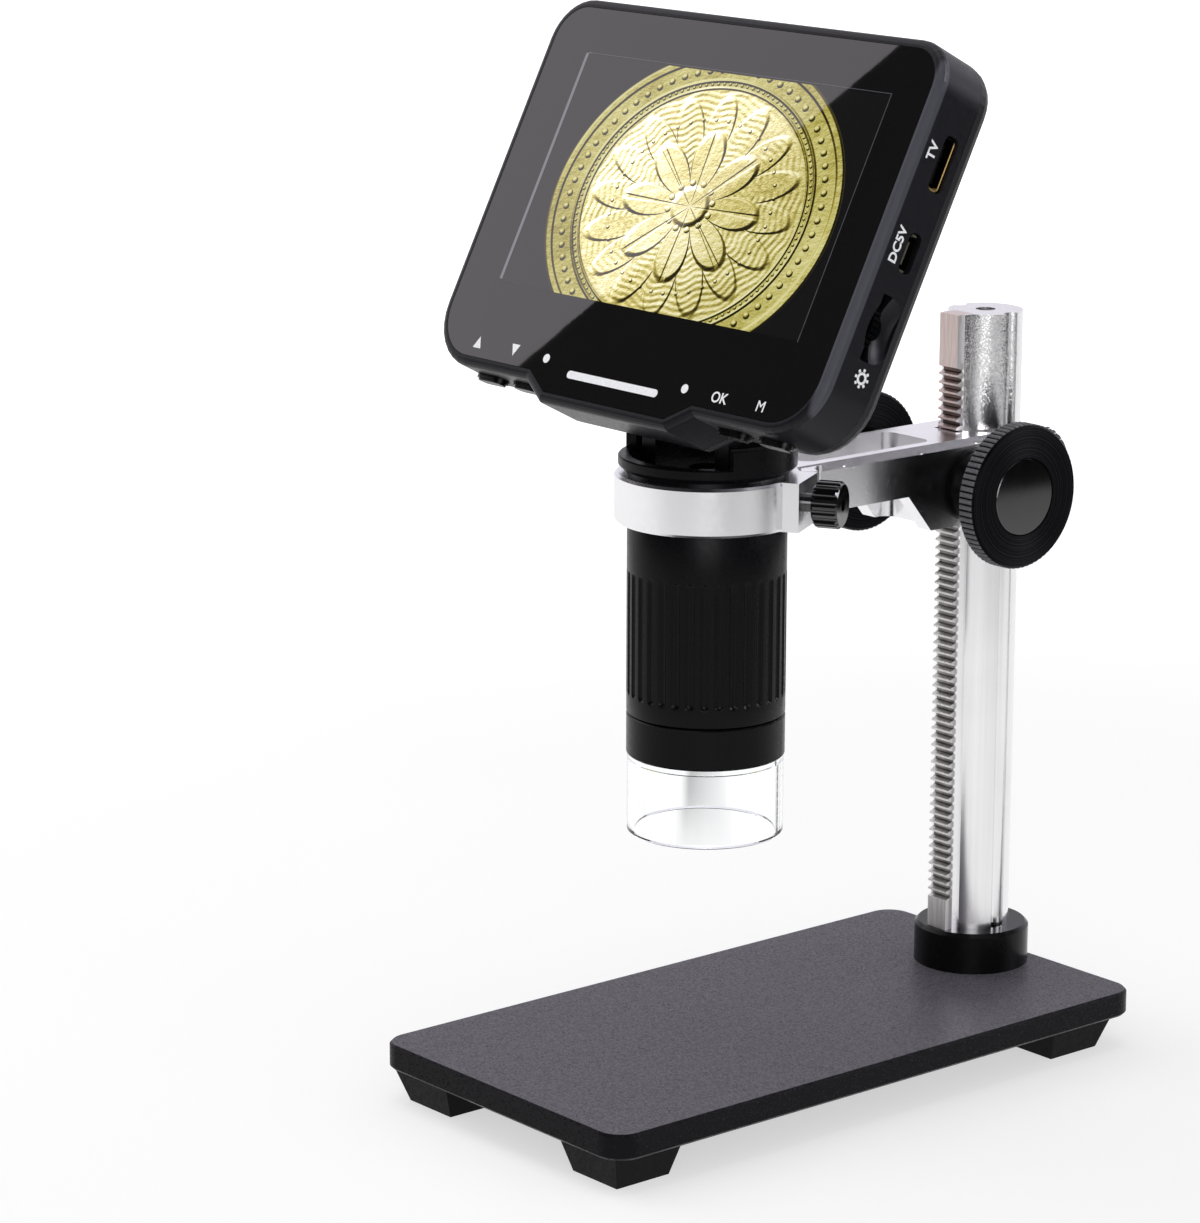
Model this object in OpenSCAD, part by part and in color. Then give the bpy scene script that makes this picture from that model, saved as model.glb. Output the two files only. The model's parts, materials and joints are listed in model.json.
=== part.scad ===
// Digital microscope with a hinged display, on a base plate with a geared pole.
// Origin: middle of the bounding box, on the surface that the feet stand on.
// +X is the operator's right, +Y runs from the front edge to the pole, +Z is up.

/* [Base] */
// Width of the base plate
base_w = 81; // [70:1:120]
// Length of the base plate, front to back
base_l = 154.3; // [140:0.1:200]
// Thickness of the base plate
base_t = 5.8; // [4:0.1:12]
// Corner radius of the base plate
base_corner = 6; // [3:0.5:12]
// Bevel along the edges of the base plate
base_bevel = 0.6; // [0.2:0.1:1.5]
// Distance from the back edge of the plate to the pole's axis
pole_inset = 13.2; // [13:0.1:20]

/* [Feet] */
// Height of a foot
foot_h = 7.8; // [5:0.1:14]
// Side of the square that a foot stands on
foot_size = 14.2; // [11:0.1:20]
// How far a foot widens towards its inner sides
foot_draft_in = 1.6; // [0.5:0.1:3]
// How far a foot widens towards its outer sides
foot_draft_out = 2.6; // [1:0.1:6]
// Distance from the middle plane to a foot's axis
foot_x = 28; // [24:0.1:29]
// Distance from the front edge to a front foot's axis
front_foot_inset = 11.7; // [11.5:0.1:20]
// Distance from the back edge to a back foot's axis
back_foot_inset = 14.8; // [14:0.1:20]

/* [Pole and rack] */
// Diameter of the pole
pole_d = 16.8; // [14:0.1:20]
// Length of the pole above the base plate
pole_l = 152; // [145:1:220]
// Width of the groove along each side of the pole
groove_w = 3.8; // [2:0.1:5]
// Diameter of the collar at the foot of the pole
collar_d = 26.2; // [24:0.1:34]
// Height of the collar
collar_h = 9.4; // [6:0.1:11]
// Width of the rack strip
rack_w = 5.8; // [4:0.1:7]
// Distance from the pole's axis to the tips of the rack's teeth
rack_reach = 11.3; // [10.8:0.1:12]
// Distance from tooth to tooth along the rack
tooth_pitch = 2; // [1.9:0.05:2.2]
// Number of teeth on the pinion
pinion_teeth = 10; // [9:1:11]
// Plain length at the top end of the rack
rack_top_end = 10.2; // [6:0.1:16]
// Plain length at the bottom end of the rack
rack_bottom_end = 5; // [3:0.5:10]

/* [Arm] */
// Distance from the pole's axis to the microscope's axis
reach = 82.3; // [78:0.1:95]
// Width of the arm and its block
arm_w = 22; // [21:0.1:30]
// Thickness of the arm's two side walls
arm_wall = 4; // [3.5:0.1:5]
// Height of the arm and its ring
arm_h = 10.6; // [10:0.1:12]
// Height of the block that rides on the pole
block_h = 19.1; // [17:0.1:26]
// Distance from the pole's axis to the back wall of the pocket in the arm
block_front = 22.5; // [22:0.1:26]
// Distance from the pole's axis to the end of the lock screw's boss
boss_reach = 13.5; // [12.5:0.1:16]
// Height of the focus shaft above the underside of the block
shaft_rise = 8.6; // [8:0.1:9.5]
// Outside diameter of the ring
ring_d = 40; // [39:0.1:46]
// Direction of the ring's clamp screw, from +X towards +Y
clamp_angle = 30; // [25:1:35]

/* [Knobs] */
// Diameter of a focus knob
knob_d = 32.2; // [26:0.1:36]
// Thickness of a focus knob's rim
knob_t = 4.7; // [3:0.1:7]
// Distance from the middle plane to a focus knob's outer face
knob_reach = 27.3; // [25:0.1:34]
// Diameter of the smooth cap in a focus knob
cap_d = 17.4; // [12:0.1:20]
// Diameter of the focus shaft
shaft_d = 4.8; // [4:0.1:5]
// Diameter of the clamp screw's head
clamp_head_d = 10.2; // [8:0.1:12]
// Diameter of the lock screw's head at the back
lock_head_d = 15; // [12:0.1:17]

/* [Microscope tube] */
// Clear height between the base plate and the hood
work_height = 46.4; // [30:0.1:60]
// Diameter of the tube in the ring
tube_d = 34.4; // [33:0.1:35]
// Visible height of the clear hood
hood_h = 17.4; // [10:0.1:24]
// Height of the ring that holds the lamps
nose_h = 9; // [8:0.1:12]
// Length of the fluted focus sleeve
sleeve_l = 41.8; // [30:0.1:50]
// Number of flutes round the focus sleeve
flute_count = 34; // [24:1:40]
// Diameter of the flange and cup on top of the tube
flange_d = 38.4; // [37:0.1:42]
// Height of the flange
flange_h = 3; // [2.8:0.1:5]
// Height of the two cheeks that rise from the cup
cheek_h = 4; // [2:0.1:5]
// Height of the hinge's axis above the cup's rim
hinge_rise = 9.8; // [9.5:0.1:12]

/* [Display] */
// Width of the display housing
case_w = 123; // [121:0.1:150]
// Height of the housing above the middle of the picture
case_top = 39.6; // [38:0.1:45]
// Height of the housing below the middle of the picture
case_bottom = 46.3; // [45.5:0.1:52]
// Thickness of the housing
case_d = 18; // [17.5:0.1:24]
// Radius of the housing's upper corners
case_r_top = 10; // [7:0.5:12]
// Radius of the housing's lower corners
case_r_bottom = 13; // [8:0.5:15]
// Wall thickness of the housing
case_wall = 2; // [1.6:0.1:2.2]
// Radius round the back edges of the housing
back_round = 5.4; // [3:0.1:6]
// How far the chin reaches below the housing
chin_drop = 4.1; // [2:0.1:5]
// Width of the rim round the cover glass
rim = 2.1; // [1.8:0.1:3]
// Thickness of the cover glass
glass_t = 1.1; // [0.8:0.1:1.5]
// Angle that the display leans back from upright at rest
lean = 27.4; // [20:0.1:35]
// Distance from the hinge's axis to the back of the housing
hinge_off = 10; // [9.8:0.1:14]
// Distance from the hinge's axis up to the middle of the picture, along the display
picture_up = 38.4; // [38:0.1:45]

/* [Hidden] */
$fn = 96;

// Clearances
gap = 0.3;      // between pieces of different bodies
run = 0.05;     // radial clearance of a running fit
eps = 0.01;     // overrun of a cut

// Heights, from the floor up
plate_top = foot_h + base_t;
collar_top = plate_top + collar_h;
pole_top = plate_top + pole_l;
hood_z = plate_top + work_height;
nose_z = hood_z + hood_h;
sleeve_z = nose_z + nose_h + gap;
ring_z = sleeve_z + sleeve_l + gap;
arm_top = ring_z + arm_h;
block_z = arm_top - block_h;
shaft_z = block_z + shaft_rise;
flange_z = arm_top + 0.8;
rim_z = flange_z + flange_h;
hinge_z = rim_z + hinge_rise;

// Places along Y, measured from the pole
pole_r = pole_d / 2;
tooth_module = tooth_pitch / PI;
pitch_r = tooth_module * pinion_teeth / 2;
rack_pitch_line = rack_reach - tooth_module;
pinion_off = rack_pitch_line + pitch_r;
lock_head_y = boss_reach + 1.2;
lock_head_t = 6;
lock_end = lock_head_y + lock_head_t;
// The base runs from front_y, the lock screw ends at the same distance behind the origin
total_l = base_l - pole_inset + lock_end;
front_y = -total_l / 2;
back_y = front_y + base_l;
pole_y = back_y - pole_inset;
pinion_y = pole_y - pinion_off;
tube_y = pole_y - reach;

// Rack and pinion teeth
dedendum = 1.25 * tooth_module;
pressure = 20;
backlash = 0.12;
rack_back = pole_r - 1.8;
rack_teeth_low = collar_top + rack_bottom_end;
rack_teeth_high = pole_top - rack_top_end;

// Screw sizes
m2_r = 1;
m3_r = 1.5;
m4_r = 2;
m5_r = 2.5;
m6_r = 3;

// Base plate
foot_y_front = front_y + front_foot_inset;
foot_y_back = back_y - back_foot_inset;
foot_screw_head_r = 3;
foot_screw_head_h = 2;
foot_screw_recess = 3.2;
foot_screw_grip = 3.6;
bolt_head_r = 5;
bolt_head_h = 3.4;
bolt_grip = 14;

// Arm
ring_r = ring_d / 2;
bore_r = tube_d / 2 + 0.15;
lug_w = 13;
lug_reach = ring_r + 2.5;
lug_fillet = 5;
arm_bevel = 1.5;
gusset_run = 7;
gusset_toe = 3.8;
boss_r = 5;
bush_h = 4;
bush_sink = 1.2;
bush_wall = 1.6;
bush_ri = pole_r + run;
bush_ro = bush_ri + bush_wall;
pole_bore_r = pole_r + 0.5;
rib_w = 0.6;
rib_reach = rack_reach - 1.5;
rack_slot_w = rack_w + 2 * rib_w + 2 * gap;
rack_slot_reach = rack_reach + 0.35;
pinion_tip_r = pitch_r + 0.9 * tooth_module;
shaft_bore_r = pinion_tip_r + 0.5;
shaft_r = shaft_d / 2;
bush_flange_t = 1;
bush_flange_r = shaft_bore_r + 1.5;
pinion_w = arm_w - 2 * arm_wall - 1;
pocket_r = 3;

// Knobs
knob_hub_r = 8;
knob_hub_x = arm_w / 2 + bush_flange_t + gap;
knob_rim_x = knob_reach - knob_t;
knob_bevel = 0.7;
knurls = 72;
cap_t = 1;
grub_r = m3_r;
grub_l = 4.2;
clamp_head_s = lug_reach + 2;
clamp_head_l = 5.8;
clamp_flutes = 18;
lock_pad_t = 1.5;
lock_pad_y = pole_r + gap;

// Microscope tube
tube_r = tube_d / 2;
core_ro = tube_r - 2.1;
core_ri = core_ro - 2.5;
core_low = nose_z + 3;
core_top = ring_z + 5.2;
sensor_board_t = 1.6;
board_cut = 9;
sensor_h = 1.2;
sensor_w = 9;
cup_wall = 2.4;
cup_ri = flange_d / 2 - cup_wall;
cup_floor_z = flange_z;
head_roof_z = cup_floor_z - 2.2;
cheek_angle = 25;
ear_x = 9.6;
ear_t = 4.4;
ear_r = 6.5;
hinge_pin_r = 2;
cable_hole_r = 4;
flute_r = 1.3;
flute_depth = 0.5;
flute_low = sleeve_z + 4;
flute_high = ring_z - 10.5;
led_board_t = 1.4;
led_board_ri = 9;
led_z = core_low - led_board_t;
led_count = 8;
led_size = 3;
led_t = 0.8;
led_ring_r = 11.8;
hood_r = tube_r - 0.2;
hood_ri = hood_r - 1.6;
spigot_r = core_ro + 0.8;
spigot_ri = spigot_r - 1.5;
spigot_low = nose_z - 1.5;
lens_r = core_ri - run;
lens_low = sleeve_z + 11;
lens_len = 30;
lens_travel = 3;
front_lens_r = 10;
front_lens_t = 4;
rear_lens_r = 7.5;
rear_lens_t = 3;
lens_shoulder = lens_low + 9;
drive_pin_r = 1.4;
drive_pin_z = lens_low + lens_len / 2;

// Display, in its own frame: X to the right, Y up the screen, Z out of the glass
case_x = case_w / 2;
hinge_depth = case_d + hinge_off;
split_depth = case_d - back_round - 0.2;
split_gap = 0.05;
front_round = 1.5;
chin_w = 41.2;
chin_run = 6.7;
cavity_x = case_x - case_wall;
floor_depth = case_d - case_wall;
ledge_t = 1.2;
ledge_w = 2.5;
lcd_w = 98;
lcd_h = 67;
lcd_t = 2.9;
lcd_y = -1;
board_depth = 10.4;
board_t = 1.6;
board_x = cavity_x - 0.4;
board_top = case_top - case_wall - 2;
board_bottom = case_bottom - case_wall - 4;
port_depth = 8.7;
picture_x = 1.5;
hdmi_y = 16.6;
hdmi_w = 11.3;
hdmi_h = 3.4;
power_port_y = -2.6;
power_port_w = 8;
power_port_h = 3;
port_l = 7.4;
port_round = 1.1;
card_y = 12;
card_w = 14.4;
card_h = 1.8;
card_l = 13;
wheel_y = -19.3;
wheel_r = 7.5;
wheel_t = 2;
wheel_depth = 7.3;
wheel_x = case_x - 0.4 - wheel_r;
scoop_r = 12;
scoop_sink = 2.2;
scoop_depth = 9.2;
button_w = 8.8;
button_d = 4;
button_proud = 1.3;
button_flange = 0.9;
button_flange_t = 0.8;
button_depth = 7.6;
button_edge = 15.6;
button_step = 12.5;
button_xs = [
    button_edge - case_x, button_edge + button_step - case_x,
    case_x - button_edge - button_step, case_x - button_edge
];
button_travel = 0.5;
flange_room = button_flange_t + button_travel + gap;
switch_d = 3.4;
switch_w = 6;
switch_l = 3.5;
post_x = case_x - 8.05;
post_r = 2.7;
post_ys = [case_top - 8.5, -case_bottom + 10.2];
screw_head_r = 2;
screw_head_h = 1.4;
screw_sink = 2.2;
battery_w = 60;
battery_h = 36;
battery_t = 3.2;
plate_t = 2.5;
plate_w = 28;
plate_screw_side = 2.6;
plate_screw_end = 3.5;
plate_head_r = 1.9;
plate_head_h = 1.2;
plate_low = -(picture_up + 4.3);
plate_high = plate_low + 21;
web_w = 2 * (ear_x - gap);
knuckle_r = 6.5;

// ---------------------------------------------------------------- helpers

// Rounded rectangle about the origin, with exact arcs
module rounded_rect(w, l, r) {
    square([w - 2 * r, l], center = true);
    square([w, l - 2 * r], center = true);
    for (x = [-1, 1], y = [-1, 1])
        translate([x * (w / 2 - r), y * (l / 2 - r)])
            circle(r = r);
}

// Cylinder with a bevel round its upper and lower edge
module bevelled_cylinder(r, h, low = 0, high = 0) {
    rotate_extrude()
        polygon([
            [0, 0], [r - low, 0], [r, low],
            [r, h - high], [r - high, h], [0, h]
        ]);
}

module tube(ro, ri, h) {
    difference() {
        cylinder(r = ro, h = h);
        translate([0, 0, -eps]) cylinder(r = ri, h = h + 2 * eps);
    }
}

module at_pole(z = 0) {
    translate([0, pole_y, z]) children();
}

module at_tube(z = 0) {
    translate([0, tube_y, z]) children();
}

// Along +X from the focus shaft's middle
module on_shaft() {
    translate([0, pinion_y, shaft_z]) rotate([0, 90, 0]) children();
}

// Along the clamp screw, outwards from the tube's axis
module on_clamp() {
    at_tube(ring_z + arm_h / 2)
        rotate([0, 0, clamp_angle]) rotate([0, 90, 0]) children();
}

// Display frame: origin at the middle of the picture on the glass
module on_display() {
    translate([0, tube_y, hinge_z])
        rotate([90 - lean, 0, 0])
            translate([0, picture_up, hinge_depth])
                children();
}

// Prism that leans outwards: bottom and top span along one axis
module tapered(low, high, top_low, top_high, h, w) {
    rotate([90, 0, 0])
        linear_extrude(height = w, center = true)
            polygon([[low, 0], [high, 0], [top_high, h], [top_low, h]]);
}

// ------------------------------------------------------------------ stand

module bevelled_bar(w, l) {
    rotate([90, 0, 0])
        linear_extrude(height = l, center = true)
            polygon([
                [-w / 2 + base_bevel, 0], [w / 2 - base_bevel, 0],
                [w / 2, base_bevel], [w / 2, base_t - base_bevel],
                [w / 2 - base_bevel, base_t], [-w / 2 + base_bevel, base_t],
                [-w / 2, base_t - base_bevel], [-w / 2, base_bevel]
            ]);
}

module at_feet() {
    for (x = [-foot_x, foot_x]) {
        translate([x, foot_y_front, 0]) mirror([x > 0 ? 0 : 1, 0, 0]) mirror([0, 1, 0]) children();
        translate([x, foot_y_back, 0]) mirror([x > 0 ? 0 : 1, 0, 0]) children();
    }
}

module base_plate() {
    color("#26272a") difference() {
        translate([0, front_y + base_l / 2, foot_h]) {
            bevelled_bar(base_w, base_l - 2 * base_corner);
            rotate([0, 0, 90]) bevelled_bar(base_l, base_w - 2 * base_corner);
            for (x = [-1, 1], y = [-1, 1])
                translate([x * (base_w / 2 - base_corner), y * (base_l / 2 - base_corner), 0])
                    bevelled_cylinder(base_corner, base_t, base_bevel, base_bevel);
        }
        at_feet() translate([0, 0, foot_h - eps])
            cylinder(r = m3_r, h = foot_screw_grip + eps);
        at_pole(foot_h - eps) {
            cylinder(r = m6_r + 0.2, h = base_t + 2 * eps);
            cylinder(r = bolt_head_r + 0.4, h = bolt_head_h + 0.1);
        }
    }
}

module foot() {
    half = foot_size / 2;
    difference() {
        intersection() {
            tapered(-half, half, -half - foot_draft_in, half + foot_draft_out, foot_h, 3 * foot_size);
            rotate([0, 0, 90])
                tapered(-half, half, -half - foot_draft_in, half + foot_draft_out, foot_h, 3 * foot_size);
        }
        translate([0, 0, -eps]) {
            cylinder(r = foot_screw_head_r + 0.3, h = foot_screw_recess + foot_screw_head_h + eps);
            cylinder(r = m3_r + 0.1, h = foot_h + 1);
        }
    }
}

module feet() {
    color("#17171a") at_feet() foot();
}

module foot_screws() {
    color("silver") at_feet() difference() {
        union() {
            translate([0, 0, foot_screw_recess])
                cylinder(r = foot_screw_head_r, h = foot_screw_head_h);
            translate([0, 0, foot_screw_recess + foot_screw_head_h - eps])
                cylinder(r = m3_r, h = foot_h + foot_screw_grip - foot_screw_recess - foot_screw_head_h);
        }
        translate([0, 0, foot_screw_recess - eps]) cylinder(r = 1.2, h = 1.2, $fn = 6);
    }
}

// Outline of the pole, with its side grooves and the seat of the rack
module pole_outline(grow = 0) {
    difference() {
        circle(r = pole_r + grow);
        for (side = [-1, 1]) translate([side * (pole_r + 0.2), 0])
            circle(d = groove_w - 2 * grow);
        translate([0, -pole_r]) square([rack_w, 2 * (pole_r - rack_back)], center = true);
    }
}

module pole() {
    color("#c9cacc") at_pole(plate_top) difference() {
        union() {
            linear_extrude(height = pole_l) pole_outline();
            // Ribs on both sides of the rack, above the collar
            translate([0, 0, collar_h]) linear_extrude(height = pole_l - collar_h)
                for (side = [-1, 1])
                    translate([side * (rack_w + rib_w) / 2, -(rib_reach + rack_back) / 2])
                        square([rib_w, rib_reach - rack_back], center = true);
        }
        translate([0, 0, pole_l - 12]) cylinder(r = m5_r - 0.3, h = 12 + eps);
        translate([0, 0, -eps]) cylinder(r = m6_r, h = bolt_grip + 1);
    }
}

module pole_bolt() {
    color("dimgray") at_pole(foot_h + 0.1) difference() {
        union() {
            cylinder(r = bolt_head_r, h = bolt_head_h);
            translate([0, 0, bolt_head_h - eps])
                cylinder(r = m6_r, h = bolt_grip + base_t - bolt_head_h);
        }
        translate([0, 0, -eps]) cylinder(r = 2.9, h = 2, $fn = 6);
    }
}

module pole_collar() {
    color("#1b1b1d") difference() {
        at_pole(plate_top) bevelled_cylinder(collar_d / 2, collar_h, 0, 0.8);
        at_pole(plate_top - eps) cylinder(r = pole_r, h = collar_h + 2 * eps);
        at_pole(plate_top + collar_h / 2) rotate([-90, 0, 0])
            cylinder(r = m4_r, h = collar_d);
    }
}

module collar_grub_screw() {
    length = collar_d / 2 - pole_r - 0.5;
    color("dimgray") at_pole(plate_top + collar_h / 2) rotate([-90, 0, 0])
        translate([0, 0, pole_r]) difference() {
            cylinder(r = m4_r, h = length);
            translate([0, 0, length - 1.8]) cylinder(r = 1.15, h = 2, $fn = 6);
        }
}

// The gaps between the rack's teeth keep step with the pinion
module rack() {
    gap_count_down = floor((shaft_z - rack_teeth_low - tooth_pitch / 2) / tooth_pitch);
    gap_count_up = floor((rack_teeth_high - shaft_z - tooth_pitch / 2) / tooth_pitch);
    half_gap = tooth_pitch / 4 + backlash / 2;
    half_mouth = half_gap + tooth_module * tan(pressure);
    half_root = half_gap - dedendum * tan(pressure);
    root = rack_reach - tooth_module - dedendum;
    color("#b9aeac") at_pole() rotate([90, 0, -90])
        linear_extrude(height = rack_w, center = true)
            polygon(concat(
                [[rack_back, pole_top], [rack_back, collar_top], [rack_reach, collar_top]],
                [for (k = [-gap_count_down : gap_count_up])
                    for (p = [[rack_reach, -half_mouth], [root, -half_root],
                              [root, half_root], [rack_reach, half_mouth]])
                        [p[0], shaft_z + k * tooth_pitch + p[1]]],
                [[rack_reach, pole_top]]
            ));
}

// -------------------------------------------------------------------- arm

module arm_ring() {
    at_tube(ring_z) {
        bevelled_cylinder(ring_r, arm_h, 0.6, 0.6);
        rotate([0, 0, clamp_angle])
            translate([0, -lug_w / 2, 0]) cube([lug_reach, lug_w, arm_h]);
    }
    // Fillet between the lug and the side of the arm
    translate([arm_w / 2 - eps, tube_y + ring_r - 2, ring_z])
        linear_extrude(height = arm_h) difference() {
            translate([0, -1]) square([lug_fillet - 1, lug_fillet + 1]);
            translate([lug_fillet, lug_fillet]) circle(r = lug_fillet);
        }
}

module arm_side_outline() {
    front = tube_y + ring_r / 2;
    toe = pole_y - block_front - gusset_toe;
    back = pole_y;
    polygon([
        [front, ring_z], [toe - gusset_run, ring_z], [toe, block_z],
        [back, block_z], [back, arm_top], [front, arm_top]
    ]);
}

module arm_body() {
    half = arm_w / 2;
    intersection() {
        rotate([90, 0, 90])
            linear_extrude(height = arm_w, center = true) arm_side_outline();
        translate([0, pole_y, 0]) rotate([90, 0, 0])
            linear_extrude(height = reach) polygon([
                [-half, 0], [half, 0], [half, arm_top - arm_bevel],
                [half - arm_bevel, arm_top], [arm_bevel - half, arm_top],
                [-half, arm_top - arm_bevel]
            ]);
    }
}

module arm_pocket() {
    low = tube_y + ring_r + 2;
    high = pole_y - block_front;
    width = arm_w - 2 * arm_wall;
    translate([0, (low + high) / 2, block_z - 1])
        linear_extrude(height = block_h + 2)
            rounded_rect(width, high - low, pocket_r);
}

module arm() {
    color("#d3d4d6") difference() {
        union() {
            arm_ring();
            arm_body();
            at_pole(block_z) bevelled_cylinder(arm_w / 2, block_h, 0, arm_bevel);
            on_lock() cylinder(r = boss_r, h = boss_reach);
        }
        at_tube(ring_z - 1) cylinder(r = bore_r, h = arm_h + 2);
        arm_pocket();
        at_pole(block_z - 1) {
            cylinder(r = pole_bore_r, h = block_h + 2);
            translate([-rack_slot_w / 2, -rack_slot_reach, 0])
                cube([rack_slot_w, rack_slot_reach, block_h + 2]);
        }
        at_pole(block_z - eps) cylinder(r = bush_ro, h = bush_sink + bush_h + eps);
        at_pole(arm_top - bush_sink - bush_h) cylinder(r = bush_ro, h = bush_sink + bush_h + eps);
        on_shaft() cylinder(r = shaft_bore_r, h = arm_w + 2, center = true);
        on_clamp() cylinder(r = m4_r + run, h = lug_reach + 1);
        on_lock() cylinder(r = m5_r + run, h = boss_reach + 1);
    }
}

module pole_bushes() {
    color("#e8e6df") for (z = [block_z + bush_sink, arm_top - bush_sink - bush_h]) at_pole(z)
        difference() {
            tube(bush_ro, bush_ri, bush_h);
            translate([-rack_slot_w / 2, -bush_ro - 1, -eps])
                cube([rack_slot_w, bush_ro + 1, bush_h + 2 * eps]);
        }
}

module shaft_bushes() {
    inner = pinion_w / 2 + 0.4;
    color("#2e2a26") on_shaft() for (side = [0, 1]) mirror([0, 0, side])
        translate([0, 0, inner]) difference() {
            union() {
                cylinder(r = shaft_bore_r, h = arm_w / 2 - inner);
                translate([0, 0, arm_w / 2 - inner])
                    cylinder(r = bush_flange_r, h = bush_flange_t);
            }
            translate([0, 0, -eps]) cylinder(r = shaft_r + run, h = arm_w);
        }
}

// Half width of a pinion tooth at steps out from the pitch circle, in modules
tooth_form = [
    [-1.3, 0.8], [-1, 0.66], [-0.8, 0.6], [-0.6, 0.61], [-0.4, 0.67], [-0.2, 0.75],
    [0, 0.78], [0.2, 0.74], [0.4, 0.67], [0.6, 0.57], [0.8, 0.44], [0.9, 0.36]
];

module pinion_tooth() {
    count = len(tooth_form);
    polygon([for (i = [0 : 2 * count - 1])
        let (step = tooth_form[i < count ? i : 2 * count - 1 - i])
            [pitch_r + step[0] * tooth_module, (i < count ? 1 : -1) * step[1] * tooth_module]]);
}

module pinion_shaft() {
    shaft_l = 2 * (knob_reach - cap_t - 0.6);
    color("#8f9196") on_shaft() {
        for (side = [0, 1]) mirror([0, 0, side])
            translate([0, 0, pinion_w / 2]) cylinder(r = shaft_r, h = (shaft_l - pinion_w) / 2);
        cylinder(r = pitch_r - 1.22 * tooth_module, h = pinion_w + 0.2, center = true);
        linear_extrude(height = pinion_w, center = true)
            for (i = [0 : pinion_teeth - 1])
                rotate([0, 0, 90 + i * 360 / pinion_teeth]) pinion_tooth();
    }
}

module focus_knob(side) {
    on_shaft() mirror([0, 0, side > 0 ? 0 : 1]) difference() {
        union() {
            translate([0, 0, knob_hub_x])
                bevelled_cylinder(knob_hub_r, knob_rim_x - knob_hub_x + 1, 0.5, 0);
            intersection() {
                translate([0, 0, knob_rim_x])
                    bevelled_cylinder(knob_d / 2, knob_t, knob_bevel, knob_bevel);
                translate([0, 0, knob_rim_x - 1]) linear_extrude(height = knob_t + 2)
                    difference() {
                        circle(d = knob_d);
                        for (i = [0 : knurls - 1]) rotate([0, 0, i * 360 / knurls])
                            translate([knob_d / 2, 0]) rotate([0, 0, 45])
                                square(0.6, center = true);
                    }
            }
        }
        cylinder(r = shaft_r, h = knob_reach + 1);
        translate([0, 0, knob_reach - cap_t]) cylinder(d = cap_d, h = cap_t + 1);
        translate([0, 0, (knob_hub_x + knob_rim_x) / 2]) rotate([90, 0, 0])
            cylinder(r = grub_r, h = knob_hub_r + 1);
    }
}

module knob_right() {
    color("#161618") focus_knob(1);
}

module knob_left() {
    color("#161618") focus_knob(-1);
}

module knob_caps() {
    color("#2c2c2e") on_shaft() for (side = [0, 1]) mirror([0, 0, side])
        translate([0, 0, knob_reach - cap_t])
            bevelled_cylinder(cap_d / 2, cap_t, 0, 0.3);
}

module knob_grub_screws() {
    color("dimgray") on_shaft() for (side = [0, 1]) mirror([0, 0, side])
        translate([0, 0, (knob_hub_x + knob_rim_x) / 2]) rotate([90, 0, 0])
            translate([0, 0, shaft_r]) difference() {
                cylinder(r = grub_r, h = grub_l);
                translate([0, 0, grub_l - 1.4]) cylinder(r = 0.85, h = 2, $fn = 6);
            }
}

// Fluted screw head along +Z
module fluted_head(r, h, count, depth) {
    intersection() {
        bevelled_cylinder(r, h, 0.5, 0.6);
        translate([0, 0, -1]) linear_extrude(height = h + 2) difference() {
            circle(r = r);
            for (i = [0 : count - 1]) rotate([0, 0, i * 360 / count])
                translate([r + 0.1, 0]) circle(r = depth + 0.1, $fn = 24);
        }
    }
}

module clamp_screw() {
    tip = tube_r + gap;
    color("#1a1a1c") on_clamp() difference() {
        union() {
            translate([0, 0, tip]) cylinder(r = m4_r, h = clamp_head_s + 1 - tip);
            translate([0, 0, clamp_head_s])
                fluted_head(clamp_head_d / 2, clamp_head_l, clamp_flutes, 0.5);
        }
        translate([0, 0, clamp_head_s + clamp_head_l - 3]) cylinder(r = 1.3, h = 4);
    }
}

module on_lock() {
    at_pole(shaft_z) rotate([-90, 0, 0]) children();
}

module lock_screw() {
    tip = lock_pad_y + lock_pad_t;
    color("#1a1a1c") on_lock() {
        translate([0, 0, tip]) cylinder(r = m5_r, h = lock_head_y + 1 - tip);
        translate([0, 0, lock_head_y]) fluted_head(lock_head_d / 2, lock_head_t, 24, 0.6);
    }
}

module lock_pad() {
    color("#2e2a26") on_lock() translate([0, 0, lock_pad_y])
        cylinder(r = m5_r, h = lock_pad_t);
}

// ------------------------------------------------------- microscope tube

// Wall of the cup: a cheek on each side, and the back between them
module cheeks() {
    intersection() {
        tube(flange_d / 2, cup_ri, rim_z - flange_z + cheek_h);
        linear_extrude(height = 2 * flange_h + cheek_h)
            polygon([
                [0, 0], [flange_d, -flange_d * tan(cheek_angle)], [flange_d, flange_d],
                [-flange_d, flange_d], [-flange_d, -flange_d * tan(cheek_angle)]
            ]);
    }
}

module hinge_ear(side) {
    height = hinge_z - cup_floor_z;
    translate([side * (ear_x + ear_t / 2), 0, 0]) rotate([90, 0, 90])
        linear_extrude(height = ear_t, center = true) {
            translate([0, height]) circle(r = ear_r);
            translate([-ear_r, -eps]) square([2 * ear_r, height + eps]);
        }
}

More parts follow.
